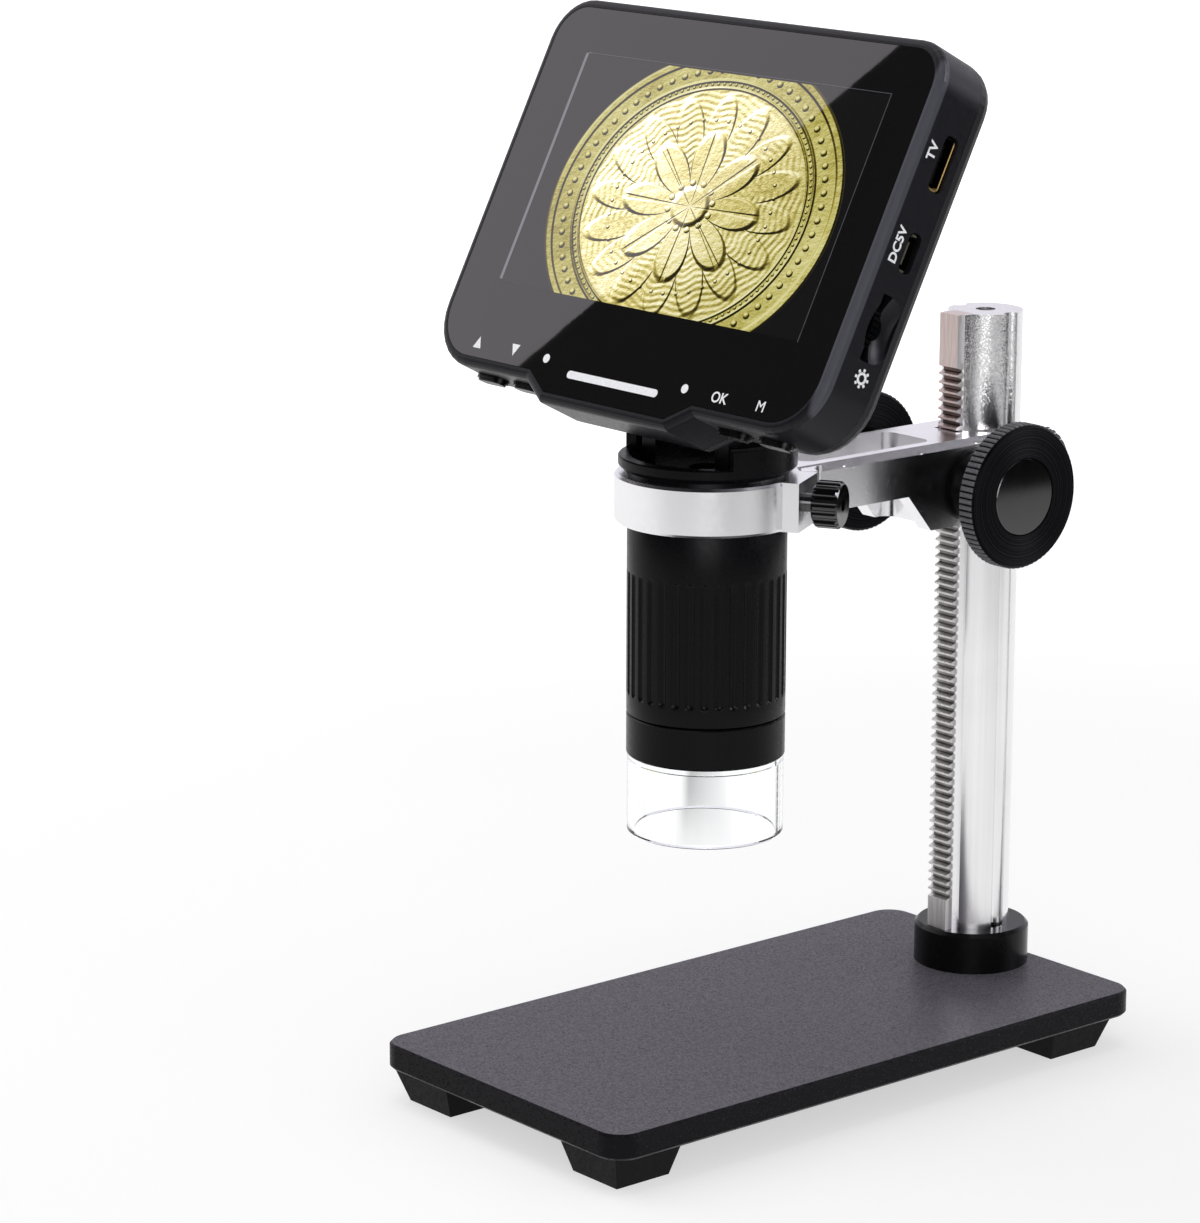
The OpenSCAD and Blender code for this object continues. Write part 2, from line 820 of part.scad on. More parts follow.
module tube_head() {
    color("#232428") difference() {
        union() {
            at_tube(ring_z) cylinder(r = tube_r, h = flange_z - ring_z + eps);
            at_tube(flange_z) difference() {
                bevelled_cylinder(flange_d / 2, flange_h, 1, 0.3);
                translate([0, 0, 0]) cylinder(r = cup_ri, h = flange_h + 1);
            }
            at_tube(head_roof_z) cylinder(r = tube_r, h = cup_floor_z - head_roof_z);
            at_tube(flange_z + eps) intersection() {
                cheeks();
                bevelled_cylinder(flange_d / 2, flange_h + cheek_h, 1, 0.3);
            }
            at_tube(cup_floor_z) for (side = [-1, 1]) hinge_ear(side);
        }
        at_tube(ring_z - eps) cylinder(r = core_ro, h = core_top + sensor_board_t - ring_z + eps);
        at_tube(ring_z) cylinder(r = core_ri, h = head_roof_z - ring_z);
        at_tube(ring_z) cylinder(r = cable_hole_r, h = arm_h + flange_h);
        translate([0, tube_y, hinge_z]) rotate([0, 90, 0])
            cylinder(r = hinge_pin_r + 0.02, h = flange_d, center = true);
    }
}

module hinge_pin() {
    length = 2 * (ear_x + ear_t);
    color("silver") translate([0, tube_y, hinge_z]) rotate([0, 90, 0])
        translate([0, 0, -length / 2]) bevelled_cylinder(hinge_pin_r, length, 0.3, 0.3);
}

module core_tube() {
    color("#55575b") difference() {
        at_tube(core_low) tube(core_ro, core_ri, core_top - core_low);
        for (z = [-lens_travel - 0.3, lens_travel + 0.3])
            at_tube(drive_pin_z + z) rotate([-90, 0, 0])
                cylinder(r = drive_pin_r + 0.1, h = core_ro + 1);
        at_tube(drive_pin_z) translate([-drive_pin_r - 0.1, 0, -lens_travel - 0.3])
            cube([2 * drive_pin_r + 0.2, core_ro + 1, 2 * lens_travel + 0.6]);
    }
}

module focus_sleeve() {
    inner = core_ro + run;
    color("#1e1f22") at_tube() difference() {
        translate([0, 0, sleeve_z]) difference() {
            bevelled_cylinder(tube_r, sleeve_l, 0.3, 0.3);
            translate([0, 0, -eps]) cylinder(r = inner, h = sleeve_l + 2 * eps);
        }
        for (i = [0 : flute_count - 1]) rotate([0, 0, i * 360 / flute_count])
            translate([tube_r + flute_r - flute_depth, 0, flute_low])
                cylinder(r = flute_r, h = flute_high - flute_low, $fn = 24);
    }
}

module nose_ring() {
    color("#1e1f22") at_tube(nose_z) difference() {
        bevelled_cylinder(tube_r, nose_h, 0.3, 0.3);
        translate([0, 0, core_low - nose_z - led_board_t]) cylinder(r = core_ro, h = nose_h);
        translate([0, 0, -eps]) cylinder(r = spigot_r, h = core_low - nose_z - led_board_t + eps);
    }
}

module led_board() {
    color("#f2f2ee") at_tube(led_z) tube(core_ro, led_board_ri, led_board_t);
}

module leds() {
    color("#f6e27a") at_tube(led_z - led_t)
        for (i = [0 : led_count - 1]) rotate([0, 0, i * 360 / led_count])
            translate([led_ring_r - led_size / 2, -led_size / 2, 0])
                cube([led_size, led_size, led_t]);
}

module hood() {
    color("#dfe8ec", 0.35) at_tube() rotate_extrude() polygon([
        [hood_ri, hood_z + 0.4], [hood_ri + 0.4, hood_z], [hood_r - 0.4, hood_z],
        [hood_r, hood_z + 0.4], [hood_r, nose_z], [spigot_r, nose_z],
        [spigot_r, led_z], [spigot_ri, led_z], [spigot_ri, spigot_low],
        [hood_ri, spigot_low]
    ]);
}

module sensor_board() {
    color("#1f5c3a") at_tube(core_top) cylinder(r = core_ro, h = sensor_board_t);
}

module image_sensor() {
    color("#2a2a33") at_tube(core_top - sensor_h) translate([-sensor_w / 2, -sensor_w / 2, 0])
        cube([sensor_w, sensor_w, sensor_h]);
}

module lens_barrel() {
    color("#2b2c30") difference() {
        at_tube(lens_low) cylinder(r = lens_r, h = lens_len);
        at_tube(lens_low - eps) cylinder(r = front_lens_r, h = lens_shoulder - lens_low + eps);
        at_tube(lens_low) cylinder(r = rear_lens_r, h = lens_len + 1);
        at_tube(drive_pin_z) rotate([-90, 0, 0]) cylinder(r = drive_pin_r, h = lens_r + 1);
    }
}

// Biconvex lens with a straight edge, from z = 0 to t
module lens(r, t, edge) {
    bulge = (t - edge) / 2;
    sphere_r = (r * r + bulge * bulge) / (2 * bulge);
    rotate_extrude() intersection() {
        square([r, t]);
        translate([0, sphere_r]) circle(r = sphere_r, $fn = 240);
        translate([0, t - sphere_r]) circle(r = sphere_r, $fn = 240);
    }
}

module front_lens() {
    color("#cfe3f2", 0.35) at_tube(lens_shoulder - front_lens_t)
        lens(front_lens_r, front_lens_t, 1.6);
}

module rear_lens() {
    color("#cfe3f2", 0.35) at_tube(lens_low + lens_len - rear_lens_t - 1)
        lens(rear_lens_r, rear_lens_t, 1.2);
}

module drive_pin() {
    color("silver") at_tube(drive_pin_z) rotate([-90, 0, 0])
        translate([0, 0, rear_lens_r]) difference() {
            cylinder(r = drive_pin_r, h = core_ro - 0.2 - rear_lens_r);
            translate([0, 0, -rear_lens_r]) rotate([90, 0, 0])
                cylinder(r = rear_lens_r, h = 6 * drive_pin_r, center = true);
        }
}

// ---------------------------------------------------------------- display

// Outline of the housing, drawn in by inset
module case_outline(inset = 0) {
    w = case_x - inset;
    top = case_top - inset;
    bottom = case_bottom - inset;
    rt = case_r_top - inset;
    rb = case_r_bottom - inset;
    translate([-w + rt, -bottom + rb]) square([2 * (w - rt), top + bottom - rb]);
    translate([-w, -bottom + rb]) square([2 * w, top + bottom - rt - rb]);
    translate([-w + rb, -bottom]) square([2 * (w - rb), bottom]);
    for (side = [-1, 1]) {
        translate([side * (w - rt), top - rt]) circle(r = rt);
        translate([side * (w - rb), -bottom + rb]) circle(r = rb);
    }
}

// Outline of the chin below the housing
module chin_outline(inset = 0) {
    low = -case_bottom - chin_drop + inset;
    half = chin_w / 2;
    slide = inset * 0.5;
    polygon([
        [-half - chin_run + slide, -case_bottom + inset + 4],
        [-half - chin_run + slide, -case_bottom + inset],
        [-half + slide, low], [half - slide, low],
        [half + chin_run - slide, -case_bottom + inset],
        [half + chin_run - slide, -case_bottom + inset + 4]
    ]);
}

// Thin slices of an outline, hulled into a shell with a rounded edge.
// steps holds pairs of depth and inset.
module rounded_shell(steps, chin) {
    hull() for (s = steps) translate([0, 0, -s[0]])
        linear_extrude(height = 0.02)
            if (chin) chin_outline(s[1], $fn = 32); else case_outline(s[1], $fn = 32);
}

// Depth and inset along a quarter circle of radius r that ends at depth
function edge_steps(depth, r, base_inset) =
    [for (a = [0 : 18 : 90]) [depth - r + r * sin(a), base_inset + r - r * cos(a)]];

module front_solid() {
    for (chin = [false, true])
        rounded_shell(
            [for (a = [0 : 22.5 : 90])
                [0.02 + front_round - front_round * sin(a), front_round - front_round * cos(a)]],
            chin);
    translate([0, 0, -split_depth]) linear_extrude(height = split_depth - front_round) {
        case_outline();
        chin_outline();
    }
}

module button_outline(grow = 0) {
    r = button_d / 2 + grow;
    half = button_w / 2 - button_d / 2;
    translate([-half, -r]) square([2 * half, 2 * r]);
    for (side = [-1, 1]) translate([side * half, 0]) circle(r = r);
}

// Along -Y of the display frame, through the bottom wall at a button
module on_button(x) {
    translate([x, -case_bottom, -button_depth]) rotate([90, 0, 0]) children();
}

module side_port(y, w, h, inset_by) {
    translate([case_x - inset_by, y, -port_depth]) rotate([90, 0, 90])
        linear_extrude(height = inset_by + 1) rounded_rect(w, h, port_round + 0.3);
}

module front_case() {
    color("#2b2c31") on_display() difference() {
        union() {
            difference() {
                front_solid();
                // Seat of the cover glass
                translate([0, 0, -glass_t]) linear_extrude(height = glass_t + 1) {
                    case_outline(rim);
                    chin_outline(rim);
                }
                // Window for the picture panel
                translate([picture_x - lcd_w / 2 - 0.2, lcd_y - lcd_h / 2 - 0.2, -split_depth])
                    cube([lcd_w + 0.4, lcd_h + 0.4, split_depth + 1]);
                // Room behind the ledge
                translate([0, 0, -split_depth - 1])
                    linear_extrude(height = split_depth + 1 - glass_t - ledge_t) {
                        case_outline(case_wall);
                        chin_outline(case_wall);
                    }
            }
            for (x = [-post_x, post_x], y = post_ys)
                translate([x, y, -board_depth])
                    cylinder(r = post_r, h = board_depth - glass_t - ledge_t + 0.5);
        }
        for (x = [-post_x, post_x], y = post_ys)
            translate([x, y, -board_depth - eps]) cylinder(r = m2_r, h = 4);
        side_port(hdmi_y, hdmi_w + 0.6, hdmi_h + 0.6, case_wall + 1);
        side_port(power_port_y, power_port_w + 0.6, power_port_h + 0.6, case_wall + 1);
        translate([case_x - case_wall - 1, wheel_y - wheel_r + 0.4, -wheel_depth - wheel_t / 2 - 0.3])
            cube([case_wall + 2, 2 * wheel_r - 0.8, wheel_t + 0.6]);
        translate([-case_x - 1, card_y - card_w / 2, -board_depth - 0.1])
            cube([case_wall + 2, card_w, card_h + 0.5]);
        translate([case_x + scoop_r - scoop_sink, wheel_y, -scoop_depth])
            scale([1, 1, 0.62]) sphere(r = scoop_r);
        for (x = button_xs) on_button(x) {
            translate([0, 0, -case_wall - 1])
                linear_extrude(height = case_wall + 2) button_outline(gap);
            // Room for the button's flange where the corner curves in
            translate([0, 0, -case_wall - flange_room])
                linear_extrude(height = flange_room) button_outline(button_flange + 0.2);
        }
    }
}

module rear_cover() {
    color("#26272b") on_display() difference() {
        union() {
            difference() {
                for (chin = [false, true])
                    rounded_shell(concat([[split_depth + split_gap + 0.02, 0]],
                        edge_steps(case_d, back_round, 0)), chin);
                for (chin = [false, true])
                    rounded_shell(concat([[split_depth, case_wall]],
                        edge_steps(floor_depth, back_round - case_wall, case_wall)), chin);
            }
            for (x = [-post_x, post_x], y = post_ys)
                translate([x, y, -floor_depth - 1])
                    cylinder(r = post_r, h = floor_depth + 1 - board_depth - board_t);
        }
        for (x = [-post_x, post_x], y = post_ys) {
            translate([x, y, -case_d - 1]) cylinder(r = m2_r + 0.2, h = case_d);
            translate([x, y, -case_d - 1]) cylinder(r = screw_head_r + 0.3, h = 1 + screw_sink);
        }
        on_bracket_screws() translate([0, 0, -3]) cylinder(r = m2_r, h = 6);
    }
}

module cover_glass() {
    color("#101012") on_display() translate([0, 0, -glass_t])
        linear_extrude(height = glass_t) {
            case_outline(rim + 0.1);
            chin_outline(rim + 0.1);
        }
}

module lcd_panel() {
    color("#3a3d45") on_display()
        translate([-lcd_w / 2 + picture_x, lcd_y - lcd_h / 2, -glass_t - lcd_t])
            cube([lcd_w, lcd_h, lcd_t]);
}

module main_board() {
    color("#1f5c3a") on_display() difference() {
        translate([-board_x, -board_bottom, -board_depth - board_t])
            cube([2 * board_x, board_bottom + board_top, board_t]);
        for (side = [-1, 1]) {
            // Corners cut back from the rounded housing
            translate([side * board_x, board_top, -board_depth - board_t / 2])
                rotate([0, 0, 45]) cube([board_cut, board_cut, 2 * board_t], center = true);
            translate([side * board_x, -board_bottom, -board_depth - board_t / 2])
                rotate([0, 0, 45]) cube([board_cut, board_cut, 2 * board_t], center = true);
        }
        for (x = [-post_x, post_x], y = post_ys)
            translate([x, y, -board_depth - board_t - 1]) cylinder(r = m2_r + 0.2, h = board_t + 2);
    }
}

module board_chips() {
    back = -board_depth - board_t;
    color("#202124") on_display() {
        for (chip = [[-14, 22, 14, 1.2], [14, 24, 10, 1.1], [36, 20, 7, 1], [-36, 24, 8, 1]])
            translate([chip[0] - chip[2] / 2, chip[1] - chip[2] / 2, back - chip[3]])
                cube([chip[2], chip[2], chip[3]]);
    }
}

module battery() {
    color("#9aa0a8") on_display()
        translate([-battery_w / 2, -battery_h / 2 - 6, -floor_depth])
            cube([battery_w, battery_h, battery_t]);
}

// Socket shell on the board, open to the side of the housing
module socket(y, w, h, length) {
    x = case_x - case_wall - length + 1.2;
    translate([x, y, -board_depth + h / 2]) rotate([90, 0, 90]) difference() {
        linear_extrude(height = length) rounded_rect(w, h, min(port_round, h / 2 - 0.1));
        translate([0, 0, 1.5]) linear_extrude(height = length)
            rounded_rect(w - 0.8, h - 0.8, min(port_round, h / 2 - 0.1) - 0.4);
    }
    translate([x + 1, y - w / 2 + 1.6, -board_depth + h / 2 - 0.35])
        cube([length - 2, w - 3.2, 0.7]);
}

module hdmi_port() {
    color("#c8a046") on_display() socket(hdmi_y, hdmi_w, hdmi_h, port_l);
}

module power_port() {
    color("silver") on_display() socket(power_port_y, power_port_w, power_port_h, port_l);
}

module card_socket() {
    color("silver") on_display() mirror([1, 0, 0])
        socket(card_y, card_w - 0.6, card_h, card_l);
}

module at_wheel() {
    translate([wheel_x, wheel_y, -wheel_depth - wheel_t / 2]) children();
}

module dimmer_wheel() {
    color("#151517") on_display() at_wheel() difference() {
        linear_extrude(height = wheel_t) difference() {
            circle(r = wheel_r);
            for (i = [0 : 35]) rotate([0, 0, i * 10]) translate([wheel_r, 0])
                rotate([0, 0, 45]) square(0.5, center = true);
        }
        translate([0, 0, -eps]) cylinder(r = 1.5 + run, h = wheel_t + 2 * eps);
    }
}

module dimmer_body() {
    drop = board_depth - wheel_depth - wheel_t / 2;
    color("#3b5f7a") on_display() at_wheel() {
        translate([0, 0, -drop]) cylinder(r = 4, h = drop - 0.1);
        translate([0, 0, -drop]) cylinder(r = 1.5, h = drop + wheel_t);
    }
}

module switch_block(w, d) {
    translate([-w / 2, 0, -board_depth]) cube([w, d, switch_d]);
}

module switches() {
    wall_in = case_bottom - case_wall;
    color("#4a4a4e") on_display() {
        for (x = button_xs) translate([x, 0, 0]) {
            translate([0, -board_bottom + 0.2, 0]) switch_block(switch_w, switch_l);
            translate([0, -board_bottom + 0.5, -button_depth]) rotate([90, 0, 0])
                cylinder(r = 1, h = wall_in - board_bottom - button_flange_t - button_travel - 0.1 + 0.5,
                         $fn = 24);
        }
    }
}

module push_button(x) {
    on_display() on_button(x) {
        translate([0, 0, -case_wall]) linear_extrude(height = case_wall + button_proud - 0.5)
            button_outline();
        translate([0, 0, button_proud - 0.5 - eps]) linear_extrude(height = 0.5)
            button_outline(-0.45);
        translate([0, 0, -case_wall - button_flange_t - 0.05])
            linear_extrude(height = button_flange_t) button_outline(button_flange);
        translate([0, 0, -case_wall - 0.1]) linear_extrude(height = 0.2) button_outline();
    }
}

module up_button() {
    color("#0e0e10") push_button(button_xs[0]);
}

module down_button() {
    color("#0e0e10") push_button(button_xs[1]);
}

module ok_button() {
    color("#0e0e10") push_button(button_xs[2]);
}

module menu_button() {
    color("#0e0e10") push_button(button_xs[3]);
}

module case_screws() {
    length = case_d - screw_sink - board_depth + 3.5;
    color("dimgray") on_display() for (x = [-post_x, post_x], y = post_ys)
        translate([x, y, -case_d + screw_sink - screw_head_h]) difference() {
            union() {
                cylinder(r = screw_head_r, h = screw_head_h);
                translate([0, 0, screw_head_h - eps]) cylinder(r = m2_r, h = length);
            }
            translate([0, 0, -eps]) for (a = [0, 90]) rotate([0, 0, a])
                translate([-1.2, -0.25, 0]) cube([2.4, 0.5, 0.8]);
        }
}

// Along -Z of the display frame, at each screw of the hinge bracket
module on_bracket_screws() {
    for (x = [-1, 1], y = [plate_low + plate_screw_end, plate_high - plate_screw_end])
        translate([x * (plate_w / 2 - plate_screw_side), y, -case_d]) children();
}

module hinge_bracket() {
    color("#1c1d20") on_display() difference() {
        union() {
            translate([0, (plate_low + plate_high) / 2, -case_d - plate_t])
                linear_extrude(height = plate_t)
                    rounded_rect(plate_w, plate_high - plate_low, 2.5);
            rotate([0, -90, 0]) linear_extrude(height = web_w, center = true) {
                translate([-hinge_depth, -picture_up]) circle(r = knuckle_r);
                polygon([
                    [-hinge_depth, -picture_up - knuckle_r], [-case_d - 1, plate_low],
                    [-case_d - 1, plate_high - 1.5], [-case_d - plate_t, plate_high - 1.5],
                    [-hinge_depth - 0.7 * knuckle_r, -picture_up + 0.714 * knuckle_r]
                ]);
            }
        }
        translate([0, -picture_up, -hinge_depth]) rotate([0, 90, 0])
            cylinder(r = hinge_pin_r + run, h = plate_w, center = true);
        on_bracket_screws() translate([0, 0, -plate_t - 1]) {
            cylinder(r = m2_r + 0.1, h = plate_t + 2);
            cylinder(r = plate_head_r + 0.2, h = 1 + plate_head_h);
        }
    }
}

module bracket_screws() {
    color("silver") on_display() on_bracket_screws() translate([0, 0, -plate_t])
        difference() {
            union() {
                cylinder(r = plate_head_r, h = plate_head_h);
                translate([0, 0, plate_head_h - eps])
                    cylinder(r = m2_r, h = plate_t - plate_head_h + case_wall);
            }
            translate([0, 0, -eps]) for (a = [0, 90]) rotate([0, 0, a])
                translate([-1.1, -0.25, 0]) cube([2.2, 0.5, 0.7]);
        }
}

// ------------------------------------------------------------------ nodes

base_plate();
feet();
foot_screws();
pole_collar();
collar_grub_screw();
pole();
pole_bolt();
rack();
arm();
pole_bushes();
shaft_bushes();
pinion_shaft();
knob_right();
knob_left();
knob_caps();
knob_grub_screws();
clamp_screw();
lock_screw();
lock_pad();
tube_head();
core_tube();
focus_sleeve();
nose_ring();
led_board();
leds();
hood();
sensor_board();
image_sensor();
lens_barrel();
front_lens();
rear_lens();
drive_pin();
hinge_pin();
front_case();
rear_cover();
cover_glass();
lcd_panel();
main_board();
board_chips();
battery();
hdmi_port();
power_port();
card_socket();
dimmer_wheel();
dimmer_body();
switches();
up_button();
down_button();
ok_button();
menu_button();
case_screws();
hinge_bracket();
bracket_screws();
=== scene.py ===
import math
import bpy
from mathutils import Matrix, Vector
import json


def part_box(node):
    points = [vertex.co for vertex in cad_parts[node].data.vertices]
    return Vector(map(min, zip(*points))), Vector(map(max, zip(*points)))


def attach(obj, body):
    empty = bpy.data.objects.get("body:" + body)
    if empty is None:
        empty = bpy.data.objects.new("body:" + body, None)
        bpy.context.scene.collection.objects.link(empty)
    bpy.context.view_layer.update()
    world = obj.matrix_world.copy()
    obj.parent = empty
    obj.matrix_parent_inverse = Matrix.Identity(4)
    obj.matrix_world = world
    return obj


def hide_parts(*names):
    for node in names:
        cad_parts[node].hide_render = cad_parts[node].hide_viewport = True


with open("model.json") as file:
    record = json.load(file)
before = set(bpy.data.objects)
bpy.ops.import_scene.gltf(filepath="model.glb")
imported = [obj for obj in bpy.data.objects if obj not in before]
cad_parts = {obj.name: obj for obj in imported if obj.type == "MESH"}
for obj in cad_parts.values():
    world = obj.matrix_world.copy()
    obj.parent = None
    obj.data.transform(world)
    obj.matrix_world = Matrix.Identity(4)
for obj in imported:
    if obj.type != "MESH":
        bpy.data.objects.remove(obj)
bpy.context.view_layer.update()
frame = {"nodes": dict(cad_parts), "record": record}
scene = bpy.context.scene
MM = 0.001
SLOT_OF = {s["node"]: s["material_slot"] for s in frame["record"]["subparts"]}


def axes_at(x, y, z, at):
    """Matrix with the given axes and origin."""
    return Matrix(((x.x, y.x, z.x, at.x), (x.y, y.y, z.y, at.y), (x.z, y.z, z.z, at.z), (0, 0, 0, 1)))


# Places taken from the part, in millimetres
TUBE_Y = -22.1
HINGE_Z = 153.0
PICTURE_UP, GLASS_OUT = 38.4, 28.0      # from the hinge to the middle of the glass
PLATE_TOP = 13.6
SHAFT = Vector((0.0, 46.354, 128.9))
SLEEVE_LOW, SLEEVE_HIGH = 86.7, 128.5
TUBE_R, SLEEVE_IN, SLEEVE_BEVEL = 17.2, 15.15, 0.3
FLUTES, FLUTE_R, FLUTE_DEPTH = 34, 1.3, 0.5
FLUTE_LOW, FLUTE_HIGH = 90.7, 118.3
KNOB_CREST_R = 15.75
CASE_X = 61.5

# The display's own frame: x right, y up the screen, z out of the glass
RIGHT = Vector((1.0, 0.0, 0.0))
UP = Vector((0.0, 0.460200, 0.887815))
OUT = Vector((0.0, -0.887815, 0.460200))
ORIGIN = Vector((0.0, TUBE_Y, HINGE_Z)) + UP * PICTURE_UP + OUT * GLASS_OUT
DISPLAY = axes_at(RIGHT, UP, OUT, ORIGIN * MM)

# ------------------------------------------------------------------ camera
CAM_AT = Vector((0.693939, -0.631614, 0.330812))
CAM_RIGHT = Vector((0.64058361, 0.76788367, 0.00270289))
CAM_UP = Vector((-0.18153021, 0.14801405, 0.9721824))
CAM_BACK = Vector((0.74612293, -0.62325477, 0.23420946))
IMAGE_W, IMAGE_H, FOCAL_PX = 1200, 1223, 4414.951

cam_data = bpy.data.cameras.new("camera")
cam_data.sensor_width = 36.0
cam_data.lens = FOCAL_PX * 36.0 / IMAGE_H
cam_data.clip_start, cam_data.clip_end = 0.05, 20.0
cam = bpy.data.objects.new("camera", cam_data)
scene.collection.objects.link(cam)
cam.matrix_world = axes_at(CAM_RIGHT, CAM_UP, CAM_BACK, CAM_AT)
scene.camera = cam
scene.view_settings.view_transform = "Standard"


# ------------------------------------------------------------------ shader helpers
def rgb(r, g, b):
    def lin(c):
        c /= 255.0
        return c / 12.92 if c <= 0.04045 else ((c + 0.055) / 1.055) ** 2.4
    return (lin(r), lin(g), lin(b), 1.0)


def scaled(colour, k):
    return tuple(min(1.0, c * k) for c in colour[:3]) + (1.0,)


class Nodes:
    """Builds nodes in one tree; each call returns an output socket."""

    def __init__(self, tree):
        self.tree = tree
        tree.nodes.clear()

    def add(self, kind, inputs=None, out=0, **props):
        n = self.tree.nodes.new(kind)
        for k, v in props.items():
            setattr(n, k, v)
        for k, v in (inputs or {}).items():
            if isinstance(v, bpy.types.NodeSocket):
                self.tree.links.new(v, n.inputs[k])
            else:
                n.inputs[k].default_value = v
        return n.outputs[out]

    def m(self, op, *a, clamp=False):
        return self.add("ShaderNodeMath", dict(enumerate(a)), operation=op, use_clamp=clamp)

    def v(self, op, *a, out=0):
        return self.add("ShaderNodeVectorMath", dict(enumerate(a)), out=out, operation=op)

    def xyz(self, vec):
        s = self.add("ShaderNodeSeparateXYZ", {0: vec})
        return list(s.node.outputs)

    def vec(self, x=0.0, y=0.0, z=0.0):
        return self.add("ShaderNodeCombineXYZ", {0: x, 1: y, 2: z})

    def mix(self, fac, a, b):
        n = self.tree.nodes.new("ShaderNodeMix")
        n.data_type = "RGBA"
        for i, v in ((0, fac), (6, a), (7, b)):
            if isinstance(v, bpy.types.NodeSocket):
                self.tree.links.new(v, n.inputs[i])
            else:
                n.inputs[i].default_value = v
        return n.outputs[2]

    def step(self, x, low, high, to_low=0.0, to_high=1.0):
        return self.add("ShaderNodeMapRange", {0: x, 1: low, 2: high, 3: to_low, 4: to_high},
                        interpolation_type="SMOOTHSTEP")

    def lerp(self, x, low, high, to_low=0.0, to_high=1.0):
        return self.add("ShaderNodeMapRange", {0: x, 1: low, 2: high, 3: to_low, 4: to_high})

    def noise(self, vec, scale, detail=3.0, rough=0.5):
        return self.add("ShaderNodeTexNoise", {"Vector": vec, "Scale": scale, "Detail": detail,
                                               "Roughness": rough})

    def object(self):
        return self.add("ShaderNodeTexCoord", out=3)

    def bump(self, height, distance, strength=1.0, normal=None):
        d = {"Height": height, "Distance": distance, "Strength": strength}
        if normal is not None:
            d["Normal"] = normal
        return self.add("ShaderNodeBump", d)

    def principled(self, **inputs):
        return self.add("ShaderNodeBsdfPrincipled", {k.replace("_", " "): v for k, v in inputs.items()})

    def flakes(self, at, scale, share, tilt, mask=None):
        """A normal that leans on small random cells, so that single grains catch the light."""
        cells = self.add("ShaderNodeTexVoronoi", {"Vector": at, "Scale": scale}, out=1)
        pick = self.step(self.xyz(cells)[0], 1.0 - share, 1.0 - share + 0.03)
        if mask is not None:
            pick = self.m("MULTIPLY", pick, mask)
        lean = self.v("SCALE", self.v("SUBTRACT", cells, (0.5, 0.5, 0.5)))
        self.tree.links.new(self.m("MULTIPLY", pick, tilt), lean.node.inputs[3])
        normal = self.add("ShaderNodeNewGeometry", out=1)
        return self.v("NORMALIZE", self.v("ADD", normal, lean))

    def output(self, surface):
        n = self.tree.nodes.new("ShaderNodeOutputMaterial")
        self.tree.links.new(surface, n.inputs[0])


def material(name):
    mat = bpy.data.materials.new(name)
    mat.use_nodes = True
    return mat, Nodes(mat.node_tree)


def finish(name, colour, spread=0.12, patch=40.0, rough=0.45, rough_spread=0.08, metallic=0.0, grain=1500.0,
           depth=2e-5, stretch=(1, 1, 1), specular=0.5, flakes=None, where=(), top_sheen=None, lip_highlight=None):
    """A moulded, painted or machined surface: patches and grain in its colour, roughness and bump.

    patch and grain are noise scales, depth is the bump's height and stretch draws the grain out along an axis.
    flakes is (scale, share, tilt), kept to the ranges (axis, low, high) of where; the x range counts both ways.
    The top argument is (height, colour) of a painted sheen that lightens the upper face, and the lip argument
    is the colour of a painted highlight along the display's front right edge."""
    mat, n = material(name)
    at = n.object()
    run = n.v("MULTIPLY", at, stretch)
    large = n.noise(at, patch, 2.0)
    fine = n.noise(run, grain, 3.0, 0.6)
    shade = n.m("ADD", n.m("MULTIPLY", large, 0.6), n.m("MULTIPLY", fine, 0.4))
    base = n.mix(n.lerp(shade, 0.3, 0.7), scaled(colour, 1 - spread), scaled(colour, 1 + spread))
    roughness = n.lerp(n.noise(run, grain * 0.37, 2.0), 0.3, 0.7, rough - rough_spread, rough + rough_spread)
    mask = None
    for axis, low, high in where:
        along = n.xyz(at)[axis]
        part = n.step(n.m("ABSOLUTE", along) if axis == 0 else along, low, high)
        mask = part if mask is None else n.m("MULTIPLY", mask, part)
    normal = n.flakes(at, *flakes, mask=mask) if flakes else None
    # Painted sheen: the upper face gets a far lighter, speckled colour than the sides, standing in for the
    # backdrop it reflects at a grazing angle.
    if top_sheen:
        height, dust_and_sheen = top_sheen
        upper = n.step(n.xyz(at)[2], height - 0.0001, height - 0.00002)
        speckle = n.lerp(n.noise(at, 2100.0, 2.0, 0.7), 0.36, 0.6, 0.42, 1.0)
        base = n.mix(n.m("MULTIPLY", upper, speckle), base, dust_and_sheen)
    # Painted highlight: a lighter band along the display's front right edge, where the rounded edge reflects a
    # lamp near the camera.
    if lip_highlight:
        depth_in = n.v("DOT_PRODUCT", n.v("SUBTRACT", at, tuple(ORIGIN * MM)), tuple(OUT), out=1)
        edge = n.m("MULTIPLY", n.step(depth_in, -0.0023, -0.0019), n.step(n.xyz(at)[0], 0.0585, 0.0597))
        base = n.mix(n.m("MULTIPLY", edge, n.lerp(shade, 0.3, 0.7, 0.8, 1.0)), base, lip_highlight)
    shader = n.principled(Base_Color=base, Metallic=metallic, Roughness=roughness,
                          Specular_IOR_Level=specular, Normal=n.bump(fine, depth, normal=normal))
    n.output(shader)
    return mat


